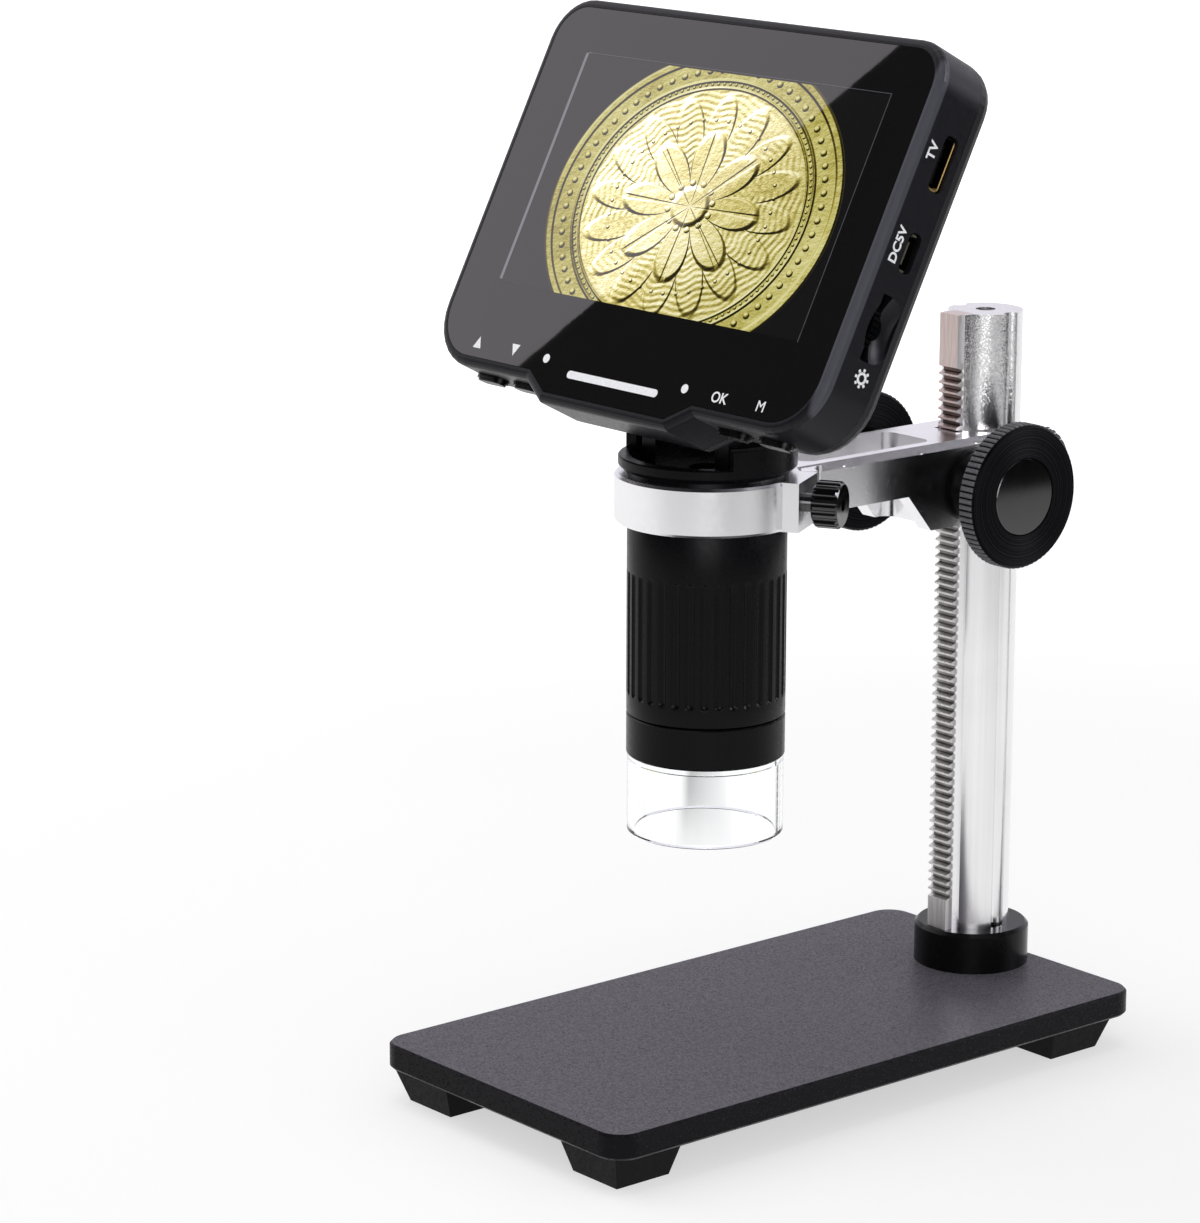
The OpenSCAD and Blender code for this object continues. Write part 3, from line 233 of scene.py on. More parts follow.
# ------------------------------------------------------------------ materials by slot
MATS = {
    # The base plate's lighter top colour is a painted sheen.
    "base_paint": finish("base_paint", rgb(11, 10, 14), 0.06, 30, 0.34, 0.05, 0, 3200, 3e-5, specular=0.08,
                         flakes=(4200, 0.3, 0.6), top_sheen=(PLATE_TOP * MM, rgb(101, 99, 106))),
    "foot_rubber": finish("foot_rubber", rgb(6, 5, 8), 0.2, 90, 0.45, 0.08, 0, 2600, 3e-5,
                          specular=0.05),
    "screw_steel": finish("screw_steel", rgb(150, 150, 155), 0.15, 300, 0.35, 0.1, 1, 3000, 1e-5),
    "collar_black": finish("collar_black", rgb(12, 12, 13), 0.2, 70, 0.22, 0.05, 0, 2200, 6e-6, specular=0.12),
    "pole_aluminium": finish("pole_aluminium", rgb(236, 235, 236), 0.05, 60, 0.22, 0.04, 1, 1500, 1.5e-6,
                             (1, 1, 0.012), flakes=(5600, 0.9, 0.16), where=((2, 0.128, 0.15),)),
    "bush_plastic": finish("bush_plastic", rgb(210, 210, 205), 0.05, 100, 0.5, 0.05, 0, 1500, 1e-5),
    "bush_bronze": finish("bush_bronze", rgb(46, 42, 38), 0.1, 200, 0.4, 0.08, 1, 2000, 1e-5),
    "shaft_steel": finish("shaft_steel", rgb(180, 180, 184), 0.1, 200, 0.25, 0.06, 1, 2500, 1e-5,
                          (0.05, 1, 1)),
    "thumb_black": finish("thumb_black", rgb(6, 6, 7), 0.25, 200, 0.13, 0.04, 0, 2400, 4e-6, specular=1.0),
    "tube_black": finish("tube_black", rgb(9, 9, 11), 0.18, 60, 0.3, 0.05, 0, 2600, 4e-6, specular=0.1),
    "lamp_board": finish("lamp_board", rgb(236, 236, 230), 0.04, 100, 0.5, 0.05, 0, 1500, 1e-5),
    "lamp": finish("lamp", rgb(240, 226, 130), 0.08, 300, 0.3, 0.05, 0, 2000, 1e-5),
    "lens_metal": finish("lens_metal", rgb(60, 60, 64), 0.12, 100, 0.4, 0.06, 1, 2000, 1e-5),
    "board_green": finish("board_green", rgb(10, 24, 18), 0.15, 150, 0.4, 0.06, 0, 1500, 1e-5),
    "chip_black": finish("chip_black", rgb(26, 26, 28), 0.15, 200, 0.5, 0.06, 0, 2500, 1e-5),
    # housing_black: the lip colour is a painted highlight on the front right edge.
    "housing_black": finish("housing_black", rgb(19, 19, 24), 0.12, 50, 0.36, 0.05, 0, 3200, 1.2e-5,
                            specular=0.18, lip_highlight=rgb(74, 74, 82)),
    "cover_black": finish("cover_black", rgb(18, 18, 22), 0.12, 50, 0.44, 0.05, 0, 2800, 2e-5, specular=0.18),
    "panel_grey": finish("panel_grey", rgb(60, 62, 70), 0.1, 60, 0.4, 0.05, 0, 1500, 1e-5),
    "cell_grey": finish("cell_grey", rgb(150, 156, 164), 0.08, 60, 0.35, 0.06, 1, 1200, 1e-5),
    # The dimmer wheel: partly its own black and partly painted shade, made darker still and almost without
    # gloss for the slot it sits in.
    "wheel_black": finish("wheel_black", rgb(2, 2, 2), 0.2, 200, 0.5, 0.06, 0, 2400, 1e-5, specular=0.02),
    "dimmer_blue": finish("dimmer_blue", rgb(30, 48, 62), 0.1, 150, 0.45, 0.05, 0, 1500, 1e-5),
    "switch_grey": finish("switch_grey", rgb(72, 72, 76), 0.1, 150, 0.45, 0.05, 0, 1500, 1e-5),
    "button_black": finish("button_black", rgb(6, 6, 7), 0.2, 200, 0.3, 0.06, 0, 2600, 1e-5, specular=0.25),
    "bracket_black": finish("bracket_black", rgb(8, 8, 9), 0.15, 70, 0.35, 0.06, 0, 2400, 1.2e-5,
                            specular=0.3),
    "arm_cast": finish("arm_cast", rgb(242, 241, 243), 0.03, 90, 0.23, 0.02, 1, 2300, 4e-7,
                       flakes=(4200, 0.018, 1.0), where=((0, 0.0098, 0.0104), (1, -0.006, 0.004))),
}


def socket_finish(name, rim, inside, node, metallic, low, high):
    """A plated shell: its metal colour shows only where light reaches it, at its mouth, on a strip from low to
    high across the slot and at its foot; deeper in, the dark inside colour is painted shade.
    """
    mat, n = material(name)
    at = n.object()
    start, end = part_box(node)
    from_centre = n.v("SUBTRACT", at, tuple((start + end) / 2))
    across = n.v("DOT_PRODUCT", from_centre, tuple(OUT), out=1)
    up = n.v("DOT_PRODUCT", from_centre, tuple(UP), out=1)
    strip = n.m("MULTIPLY", n.step(across, low - 0.0001, low + 0.0001),
                n.step(across, high - 0.0001, high + 0.0001, 1.0, 0.0))
    half = (end - start).z / 2 / UP.z * 0.8
    foot = n.m("MULTIPLY", n.step(up, -half, 0.0003 - half, 1.0, 0.0), min(1.0, metallic * 3))
    # Painted shade: away from the mouth's strip and foot, the shell takes the dark inside colour.
    outer = n.m("MULTIPLY", n.step(n.xyz(at)[0], end.x - 0.0014, end.x - 0.001), n.m("MAXIMUM", strip, foot))
    worn = n.noise(at, 900.0, 3.0)
    bright = n.mix(n.lerp(worn, 0.3, 0.7), scaled(rim, 0.8), scaled(rim, 1.15))
    shader = n.principled(Base_Color=n.mix(outer, inside, bright), Metallic=n.m("MULTIPLY", outer, metallic),
                          Roughness=n.lerp(worn, 0.3, 0.7, 0.24, 0.36), Specular_IOR_Level=0.15,
                          Normal=n.bump(worn, 8e-6))
    n.output(shader)
    return mat


def rack_finish():
    """Cut steel: painted shade darkens the roots of the teeth, the tips keep the steel's colour, plain sides.
    """
    mat, n = material("rack_steel")
    at = n.object()
    x, y, z = n.xyz(at)
    low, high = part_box("rack")
    tip = low[1]
    near_tip = n.step(y, tip + 0.0007, tip + 0.0013, 1.0, 0.0)
    side = n.step(n.m("ABSOLUTE", x), high[0] - 0.00006, high[0] - 0.00002)
    patches = n.noise(at, 260.0, 4.0, 0.6)
    streak = n.noise(n.v("MULTIPLY", at, (1, 1, 0.06)), 2200.0, 3.0)
    upper = n.step(z, 0.125, 0.142)
    pink = n.mix(n.lerp(streak, 0.3, 0.7), rgb(196, 178, 174), rgb(228, 212, 208))
    steel = n.mix(upper, n.mix(n.lerp(streak, 0.3, 0.7), rgb(198, 196, 194), rgb(232, 230, 228)), pink)
    # Painted shade: the tooth roots take a darker brownish colour, a lighter grey on the upper part.
    root_shade = n.mix(n.lerp(patches, 0.35, 0.65), rgb(52, 38, 34), rgb(104, 84, 78))
    root_shade = n.mix(upper, n.mix(n.lerp(patches, 0.35, 0.65), rgb(86, 82, 80), rgb(150, 146, 144)), root_shade)
    toothed = n.step(z, 0.1542, 0.1556, 1.0, 0.0)
    root = n.m("MULTIPLY", toothed, n.m("SUBTRACT", 1.0, near_tip))
    base = n.mix(n.m("MULTIPLY", root, 0.9), steel, root_shade)
    plain = n.m("MULTIPLY", side, n.m("SUBTRACT", 1.0, n.m("MULTIPLY", root, 0.4)))
    base = n.mix(plain, base, rgb(205, 203, 203))
    shader = n.principled(Base_Color=base, Metallic=0.9, Normal=n.bump(patches, 2e-5),
                          Roughness=n.lerp(streak, 0.3, 0.7, 0.3, 0.46))
    n.output(shader)
    return mat


def knob_finish():
    """Black anodised, faced on a lathe: fine rings round the shaft that gleam above and below."""
    mat, n = material("knob_black")
    at = n.object()
    flat = n.v("MULTIPLY", n.v("SUBTRACT", at, tuple(SHAFT * MM)), (0, 1, 1))
    radius = n.v("LENGTH", flat, out=1)
    ring = n.add("ShaderNodeTexNoise", {"W": n.m("MULTIPLY", radius, 2600.0), "Scale": 1.0, "Detail": 2.0},
                 noise_dimensions="1D")
    grit = n.noise(at, 2600.0, 3.0, 0.7)
    height = n.m("ADD", n.m("MULTIPLY", ring, 0.7), n.m("MULTIPLY", grit, 0.3))
    base = n.mix(n.lerp(height, 0.47, 0.62), rgb(0, 0, 1), rgb(26, 26, 30))
    crest = n.step(radius, KNOB_CREST_R * MM, KNOB_CREST_R * MM + 0.00025)
    base = n.mix(n.m("MULTIPLY", crest, n.lerp(grit, 0.3, 0.7, 0.5, 1.0)), base, rgb(122, 122, 126))
    tangent = n.add("ShaderNodeTangent", direction_type="RADIAL", axis="X")
    shader = n.principled(Base_Color=base, Specular_IOR_Level=0.05, Anisotropic=0.85,
                          Anisotropic_Rotation=0.25, Tangent=tangent, Normal=n.bump(height, 2.2e-5),
                          Roughness=n.lerp(grit, 0.3, 0.7, 0.38, 0.48))
    n.output(shader)
    return mat


def gloss(name, colour, rough, ior, dust_and_sheen=0.012):
    """Polished black with a faint haze and a few specks of dust."""
    mat, n = material(name)
    at = n.object()
    haze = n.noise(at, 55.0, 4.0, 0.6)
    specks = n.step(n.noise(at, 1400.0, 1.0), 0.72, 0.8)
    base = n.mix(n.m("MULTIPLY", specks, dust_and_sheen), colour, rgb(200, 200, 200))
    base = n.mix(n.lerp(haze, 0.4, 0.7, 0.0, 0.3), base, scaled(colour, 1.4))
    shader = n.principled(Base_Color=base, IOR=ior, Normal=n.bump(haze, 2e-6),
                          Roughness=n.lerp(haze, 0.3, 0.7, rough * 0.8, rough * 1.25))
    n.output(shader)
    return mat


def hood_finish():
    """Clear acrylic."""
    mat, n = material("hood_clear")
    at = n.object()
    haze = n.noise(at, 120.0, 3.0)
    shader = n.principled(Base_Color=n.mix(haze, rgb(246, 248, 249), rgb(255, 255, 255)),
                          Transmission_Weight=1.0, Roughness=n.lerp(haze, 0.3, 0.7, 0.0, 0.02), IOR=1.47,
                          Normal=n.bump(haze, 3e-6))
    n.output(shader)
    return mat


def glass_finish():
    """Coated lens glass."""
    mat, n = material("lens_glass")
    haze = n.noise(n.object(), 200.0, 2.0)
    shader = n.principled(Base_Color=n.mix(haze, rgb(214, 226, 232), rgb(236, 240, 244)),
                          Transmission_Weight=0.9, Roughness=n.lerp(haze, 0.3, 0.7, 0.01, 0.03), IOR=1.52)
    n.output(shader)
    return mat


SCREEN_IOR, SCREEN_ROUGH = 1.62, 0.014
MATS.update({
    # The sockets' dark inside colour is painted shade over the metal deeper in the slot.
    "contact_gold": socket_finish("contact_gold", rgb(255, 208, 130), rgb(6, 5, 4), "hdmi_port", 0.12,
                                  -0.009, -0.00142),
    "contact_tin": socket_finish("contact_tin", rgb(96, 92, 78), rgb(9, 9, 8), "power_port", 0.0,
                                 -0.0006, 0.0006),
    "rack_steel": rack_finish(),
    "knob_black": knob_finish(),
    "cap_black": gloss("cap_black", rgb(6, 6, 6), 0.05, 1.78),
    "screen_glass": gloss("screen_glass", rgb(11, 10, 9), SCREEN_ROUGH, SCREEN_IOR),
    "hood_clear": hood_finish(),
    "lens_glass": glass_finish(),
})

for name, obj in frame["nodes"].items():
    mat = MATS[SLOT_OF[name]]
    if not obj.material_slots:
        obj.data.materials.append(mat)
    for s in obj.material_slots:
        s.material = mat


# ------------------------------------------------------------------ mesh helpers
def mesh_object(name, verts, faces, mat, body, matrix=None, smooth=True):
    """A mesh that rides on a body; its points are in metres, in the matrix's frame."""
    mesh = bpy.data.meshes.new(name)
    mesh.from_pydata([tuple(v) for v in verts], [], faces)
    mesh.validate()
    mesh.update()
    for p in mesh.polygons:
        p.use_smooth = smooth
    mesh.materials.append(mat)
    obj = bpy.data.objects.new(name, mesh)
    scene.collection.objects.link(obj)
    if matrix is not None:
        obj.matrix_world = matrix
    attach(obj, body)
    return obj


class Prisms:
    """Flat shapes with a little thickness, gathered into one mesh. Millimetres in, metres out."""

    def __init__(self, low, high):
        self.low, self.high, self.verts, self.faces = low, high, [], []

    def polygon(self, pts):
        k, n = len(self.verts), len(pts)
        for z in (self.low, self.high):
            self.verts += [Vector((x, y, z)) * MM for x, y in pts]
        self.faces.append(tuple(range(k + n, k + 2 * n)))
        self.faces.append(tuple(reversed(range(k, k + n))))
        self.faces += [(k + i, k + (i + 1) % n, k + n + (i + 1) % n, k + n + i) for i in range(n)]

    def disc(self, x, y, r, n=32):
        self.polygon([(x + r * math.cos(a), y + r * math.sin(a))
                      for a in (i * math.tau / n for i in range(n))])

    def bar(self, x0, x1, y, w, n=10):
        r = w / 2
        pts = [(x1 - r + r * math.cos(a), y + r * math.sin(a))
               for a in (-math.pi / 2 + i * math.pi / n for i in range(n + 1))]
        pts += [(x0 + r + r * math.cos(a), y + r * math.sin(a))
                for a in (math.pi / 2 + i * math.pi / n for i in range(n + 1))]
        self.polygon(pts)

    def ring(self, x, y, r, w, n=32):
        for i in range(n):
            a, b = i * math.tau / n, (i + 1) * math.tau / n
            self.polygon([(x + q * math.cos(c), y + q * math.sin(c))
                          for q, c in ((r - w, a), (r, a), (r, b), (r - w, b))])

    def rect(self, x0, y0, x1, y1):
        self.polygon([(x0, y0), (x1, y0), (x1, y1), (x0, y1)])


PRINT_LIFT, PRINT_THICK = 0.015, 0.05


def letters(text, name, height, centre, along, upward, mat, body, slot, weight=0.0):
    """Printed letters as a thin mesh: centre, along and upward are in the display's frame, in millimetres."""
    extrude = 0.01
    curve = bpy.data.curves.new(name, "FONT")
    curve.body = text
    curve.size = 1.0
    curve.offset = weight
    curve.extrude = extrude
    curve.resolution_u = 4
    temp = bpy.data.objects.new(name + "_outline", curve)
    scene.collection.objects.link(temp)
    bpy.context.view_layer.update()
    shape = bpy.data.meshes.new_from_object(temp.evaluated_get(bpy.context.evaluated_depsgraph_get()))
    xs = [v.co.x for v in shape.vertices]
    ys = [v.co.y for v in shape.vertices]
    k = height / (max(ys) - min(ys))
    mid = ((max(xs) + min(xs)) / 2, (max(ys) + min(ys)) / 2)
    along, upward = Vector(along), Vector(upward)
    out = along.cross(upward)
    verts = [(Vector(centre) + along * (v.co.x - mid[0]) * k + upward * (v.co.y - mid[1]) * k
              + out * (PRINT_LIFT + PRINT_THICK * (v.co.z + extrude) / (2 * extrude))) * MM
             for v in shape.vertices]
    faces = [tuple(p.vertices) for p in shape.polygons]
    bpy.data.objects.remove(temp)
    return mesh_object(name, verts, faces, mat, body, DISPLAY, smooth=False)


# ------------------------------------------------------------------ focus sleeve with ball-ended flutes
def build_sleeve():
    """Rings of points up the sleeve, bevelled at both ends; a ball of FLUTE_R swept upward cuts each flute."""
    sink = FLUTE_R - FLUTE_DEPTH                          # the ball's centre lies this far outside the wall
    reach = math.sqrt(FLUTE_R ** 2 - sink ** 2)           # half the flute's width at the wall
    soft = SLEEVE_BEVEL * 0.3
    margin = 0.35
    ends = [reach * math.sin(i * math.pi / 16) for i in range(9)]
    levels = [FLUTE_LOW - margin] + [FLUTE_LOW + reach - e for e in reversed(ends)]
    levels += [FLUTE_LOW + reach + i * (FLUTE_HIGH - FLUTE_LOW - 2 * reach) / 6 for i in range(1, 6)]
    levels += [FLUTE_HIGH - reach + e for e in ends] + [FLUTE_HIGH + margin]
    rows = [(SLEEVE_LOW, SLEEVE_IN, False), (SLEEVE_LOW, TUBE_R - SLEEVE_BEVEL, False),
            (SLEEVE_LOW + soft, TUBE_R - soft, False), (SLEEVE_LOW + SLEEVE_BEVEL, TUBE_R, False)]
    rows += [(z, TUBE_R, True) for z in levels]
    rows += [(SLEEVE_HIGH - SLEEVE_BEVEL, TUBE_R, False), (SLEEVE_HIGH - soft, TUBE_R - soft, False),
             (SLEEVE_HIGH, TUBE_R - SLEEVE_BEVEL, False), (SLEEVE_HIGH, SLEEVE_IN, False)]
    pitch = math.tau / FLUTES
    half = reach / TUBE_R
    inner = [half * math.sin(math.pi / 2 * i / 5) for i in range(-4, 5)]
    offsets = [-half * 1.12, -half] + inner + [half, half * 1.12, pitch / 2]
    count = FLUTES * len(offsets)
    verts = []
    for z, r, fluted in rows:
        past = max(FLUTE_LOW + reach - z, z - FLUTE_HIGH + reach, 0.0)
        for i in range(FLUTES):
            for off in offsets:
                rr = r
                if fluted:
                    q = FLUTE_R ** 2 - (TUBE_R * off) ** 2 - past ** 2
                    if q > sink ** 2:
                        rr = TUBE_R - (math.sqrt(q) - sink)
                a = i * pitch + off
                verts.append(Vector((rr * math.cos(a), TUBE_Y + rr * math.sin(a), z)) * MM)
    faces, n = [], len(rows)
    for j in range(n):
        k = (j + 1) % n
        for i in range(count):
            e = (i + 1) % count
            faces.append((j * count + i, j * count + e, k * count + e, k * count + i))
    obj = mesh_object("focus_sleeve_grip", verts, faces, MATS["tube_black"], "focus_sleeve")
    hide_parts("focus_sleeve")


build_sleeve()

# ------------------------------------------------------------------ the picture on the display
PICTURE_X, PICTURE_HALF_W, PICTURE_HALF_H = 1.5, 47.55, 26.7
DISC_X, DISC_Y, DISC_A, DISC_B = 3.5, -3.0, 44.0, 35.0


def relief_group():
    """Height of the motif at a point where 1 is the disc's edge: rims, beads, leaves and a rosette."""
    tree = bpy.data.node_groups.new("relief", "ShaderNodeTree")
    tree.interface.new_socket(name="Point", in_out="INPUT", socket_type="NodeSocketVector")
    tree.interface.new_socket(name="Height", in_out="OUTPUT", socket_type="NodeSocketFloat")
    n = Nodes(tree)
    point = n.add("NodeGroupInput")
    x, y, z = n.xyz(point)
    radius = n.v("LENGTH", point, out=1)
    angle = n.m("ARCTAN2", y, x)

    def band(low, high, soft=0.008):
        return n.m("MULTIPLY", n.step(radius, low - soft, low + soft),
                   n.step(radius, high - soft, high + soft, 1.0, 0.0))

    def beads(at, number, size, turn=0.0):
        cell = n.m("FRACT", n.m("ADD", n.m("MULTIPLY", angle, number / math.tau), 100.0 + turn))
        side = n.m("MULTIPLY", n.m("SUBTRACT", cell, 0.5), math.tau / number * at)
        gap = n.m("SUBTRACT", radius, at)
        d2 = n.m("ADD", n.m("MULTIPLY", side, side), n.m("MULTIPLY", gap, gap))
        return n.m("SQRT", n.m("MAXIMUM", n.m("SUBTRACT", 1.0, n.m("DIVIDE", d2, size * size)), 0.0))

    def petals(number, low, high, turn=0.0, power=0.7):
        wave = n.m("ABSOLUTE", n.m("COSINE", n.m("ADD", n.m("MULTIPLY", angle, number / 2), turn)))
        edge = n.m("ADD", n.m("MULTIPLY", n.m("POWER", wave, power), high - low), low)
        return n.step(n.m("SUBTRACT", edge, radius), 0.0, 0.05), wave

    parts = [(band(0.945, 0.99), 0.75), (band(0.80, 0.815), 0.5), (band(0.755, 0.765), 0.35),
             (beads(0.875, 64, 0.021), 0.55), (beads(0.785, 120, 0.010, 0.5), 0.35),
             (beads(0.555, 40, 0.012), 0.35)]
    outer, wave = petals(16, 0.46, 0.73)
    inner, wave2 = petals(8, 0.17, 0.5, 0.0, 0.55)
    vein = n.m("MULTIPLY", n.step(wave2, 0.985, 0.998), inner)
    swing = n.m("MULTIPLY", n.m("SINE", n.m("MULTIPLY", angle, 16.0)), 2.2)
    lines = n.m("MULTIPLY", n.m("SINE", n.m("ADD", n.m("MULTIPLY", radius, 150.0), swing)), 0.03)
    lines = n.m("MULTIPLY", n.m("MULTIPLY", lines, band(0.2, 0.75, 0.03)), n.m("SUBTRACT", 1.0, inner))
    parts += [(outer, 0.35), (inner, 0.6), (vein, -0.25), (band(-1.0, 0.12, 0.02), 0.55),
              (beads(0.15, 12, 0.02), 0.3), (lines, 1.0)]
    wear = n.add("ShaderNodeTexNoise", {"Vector": point, "Scale": 9.0, "Detail": 9.0, "Roughness": 0.68})
    total = n.m("MULTIPLY", wear, 0.36)
    for value, k in parts:
        total = n.m("ADD", total, n.m("MULTIPLY", value, k))
    out = tree.nodes.new("NodeGroupOutput")
    tree.links.new(total, out.inputs[0])
    return tree


def picture_finish():
    """The lit picture: the relief, shaded by a lamp at its upper left, in brass tones on black."""
    mat, n = material("picture")
    group = relief_group()
    at = n.v("MULTIPLY", n.object(), (1000.0 / DISC_A, 1000.0 / DISC_B, 0.0))
    at = n.v("SUBTRACT", at, (DISC_X / DISC_A, DISC_Y / DISC_B, 0.0))
    eps = 0.003

    def call(point):
        g = n.tree.nodes.new("ShaderNodeGroup")
        g.node_tree = group
        n.tree.links.new(point, g.inputs[0])
        return g.outputs[0]

    h0 = call(at)
    hx = call(n.v("ADD", at, (eps, 0, 0)))
    hy = call(n.v("ADD", at, (0, eps, 0)))
    slope = 0.05 / eps
    dx = n.m("MULTIPLY", n.m("SUBTRACT", h0, hx), slope)
    dy = n.m("MULTIPLY", n.m("SUBTRACT", h0, hy), slope)
    normal = n.v("NORMALIZE", n.vec(dx, dy, 1.0))
    light = Vector((-0.42, 0.55, 0.72)).normalized()
    lit = n.v("DOT_PRODUCT", normal, tuple(light), out=1)
    large = n.noise(at, 1.6, 3.0)
    tone = n.m("ADD", lit, n.lerp(large, 0.3, 0.7, -0.1, 0.1))
    ramp = n.tree.nodes.new("ShaderNodeValToRGB")
    stops = [(0.1, rgb(30, 26, 6)), (0.38, rgb(98, 86, 32)), (0.58, rgb(172, 158, 76)),
             (0.72, rgb(214, 203, 128)), (0.9, rgb(252, 246, 208))]
    ramp.color_ramp.elements[0].position, ramp.color_ramp.elements[0].color = stops[0]
    ramp.color_ramp.elements[1].position, ramp.color_ramp.elements[1].color = stops[-1]
    for pos, col in stops[1:-1]:
        ramp.color_ramp.elements.new(pos).color = col
    n.tree.links.new(tone, ramp.inputs[0])
    radius = n.v("LENGTH", at, out=1)
    inside = n.step(radius, 0.985, 1.0, 1.0, 0.0)
    field = n.step(n.m("ADD", radius, n.lerp(large, 0.3, 0.7, -0.03, 0.03)), 0.72, 0.78)
    across = n.v("DOT_PRODUCT", at, (0.75, -0.4, 0.0), out=1)
    bright = n.mix(n.step(across, -0.35, 0.55), (1.5, 1.5, 1.9, 1), (0.9, 0.9, 0.85, 1))
    tinted = n.add("ShaderNodeMix", out=2, data_type="RGBA", blend_type="MULTIPLY")
    n.tree.links.new(ramp.outputs[0], tinted.node.inputs[6])
    n.tree.links.new(n.mix(field, bright, (0.72, 0.72, 0.5, 1)), tinted.node.inputs[7])
    tinted.node.inputs[0].default_value = 1.0
    picture = n.mix(inside, rgb(9, 9, 9), tinted)
    haze = n.noise(n.object(), 55.0, 4.0, 0.6)
    shader = n.principled(Base_Color=rgb(9, 9, 9), IOR=SCREEN_IOR, Emission_Color=picture,
                          Emission_Strength=1.0,
                          Roughness=n.lerp(haze, 0.3, 0.7, SCREEN_ROUGH * 0.8, SCREEN_ROUGH * 1.25))
    n.output(shader)
    return mat


def on_screen(name, shape, mat, matrix=DISPLAY):
    mesh_object(name, shape.verts, shape.faces, mat, "screen", matrix, smooth=False)


PICTURE_LEFT, PICTURE_RIGHT = PICTURE_X - PICTURE_HALF_W, PICTURE_X + PICTURE_HALF_W
picture = Prisms(0.01, 0.04)
picture.rect(PICTURE_LEFT, -PICTURE_HALF_H, PICTURE_RIGHT, PICTURE_HALF_H)
on_screen("picture", picture, picture_finish())


def line_finish():
    """Thin grey lines round the picture, the left one brighter."""
    mat, n = material("frame_line")
    grain = n.noise(n.object(), 700.0, 2.0)
    lit = n.mix(n.lerp(grain, 0.3, 0.7), rgb(66, 66, 72), rgb(82, 82, 88))
    lit = n.mix(n.step(n.xyz(n.object())[0], -0.0455, -0.045, 1.0, 0.0), lit, rgb(112, 110, 118))
    n.output(n.principled(Base_Color=rgb(9, 9, 9), IOR=SCREEN_IOR, Emission_Color=lit,
                          Emission_Strength=1.0,
                          Roughness=n.lerp(grain, 0.3, 0.7, SCREEN_ROUGH * 0.8, SCREEN_ROUGH * 1.25)))
    return mat


lines = Prisms(0.01, 0.06)
lines.rect(PICTURE_LEFT - 0.95, -26.0, PICTURE_LEFT - 0.1, 27.0)
lines.rect(PICTURE_LEFT - 0.35, 27.05, PICTURE_RIGHT + 0.3, 27.2)
lines.rect(PICTURE_RIGHT + 0.05, -26.9, PICTURE_RIGHT + 0.2, 27.0)
on_screen("picture_frame_lines", lines, line_finish())


# ------------------------------------------------------------------ printed marks
def print_finish():
    """White ink."""
    mat, n = material("print_white")
    grain = n.noise(n.object(), 2500.0, 3.0)
    base = n.mix(n.lerp(grain, 0.3, 0.7), rgb(226, 228, 232), rgb(250, 251, 253))
    n.output(n.principled(Base_Color=base, Roughness=n.lerp(grain, 0.3, 0.7, 0.35, 0.5),
                          Normal=n.bump(grain, 4e-6)))
    return mat


WHITE = print_finish()
marks = Prisms(0.01, 0.06)
marks.polygon([(-47.1, -42.1), (-44.5, -42.1), (-45.8, -39.5)])
marks.polygon([(-33.4, -42.1), (-32.1, -39.5), (-34.7, -39.5)])
marks.disc(-22.4, -41.1, 1.0)
marks.disc(22.4, -41.1, 1.0)
marks.bar(-14.2, 15.0, -43.4, 1.7)
on_screen("glass_marks", marks, WHITE)

ON_GLASS = ((1, 0, 0), (0, 1, 0), WHITE, "screen", "screen_glass")
ON_SIDE = ((0, 1, 0), (0, 0, 1), WHITE, "screen", "housing_black")
for text, name, height, centre, place, weight in (
        ("OK", "glass_letters_ok", 2.35, (33.4, -41.4, 0), ON_GLASS, 0.012),
        ("M", "glass_letters_m", 2.3, (45.8, -41.3, 0), ON_GLASS, 0.0),
        ("TV", "side_letters_tv", 2.35, (CASE_X, 18.0, -4.4), ON_SIDE, 0.03),
        ("DC5V", "side_letters_power", 2.3, (CASE_X, -2.1, -4.6), ON_SIDE, 0.03)):
    letters(text, name, height, centre, *place, weight=weight)

# Sun mark beside the dimmer wheel, printed on the side wall
SUN_UP, SUN_OUT = -29.7, -8.4
SUN_R, SUN_LINE, RAYS, RAY_IN, RAY_OUT, RAY_HALF = 1.3, 0.55, 8, 1.4, 2.0, 0.3
sun = Prisms(PRINT_LIFT, PRINT_LIFT + PRINT_THICK)
sun.ring(0, 0, SUN_R, SUN_LINE)
for i in range(RAYS):
    c, s = math.cos(i * math.tau / RAYS), math.sin(i * math.tau / RAYS)
    sun.polygon([(c * q - s * w, s * q + c * w) for q, w in
                 ((RAY_IN, -RAY_HALF), (RAY_OUT, -RAY_HALF), (RAY_OUT, RAY_HALF), (RAY_IN, RAY_HALF))])
side = DISPLAY @ axes_at(Vector((0, 1, 0)), Vector((0, 0, 1)), Vector((1, 0, 0)),
                         Vector((CASE_X, SUN_UP, SUN_OUT)) * MM)
on_screen("side_sun_mark", sun, WHITE, side)


# ------------------------------------------------------------------ floor, lamps and surroundings
TABLE_EDGE = 0.5


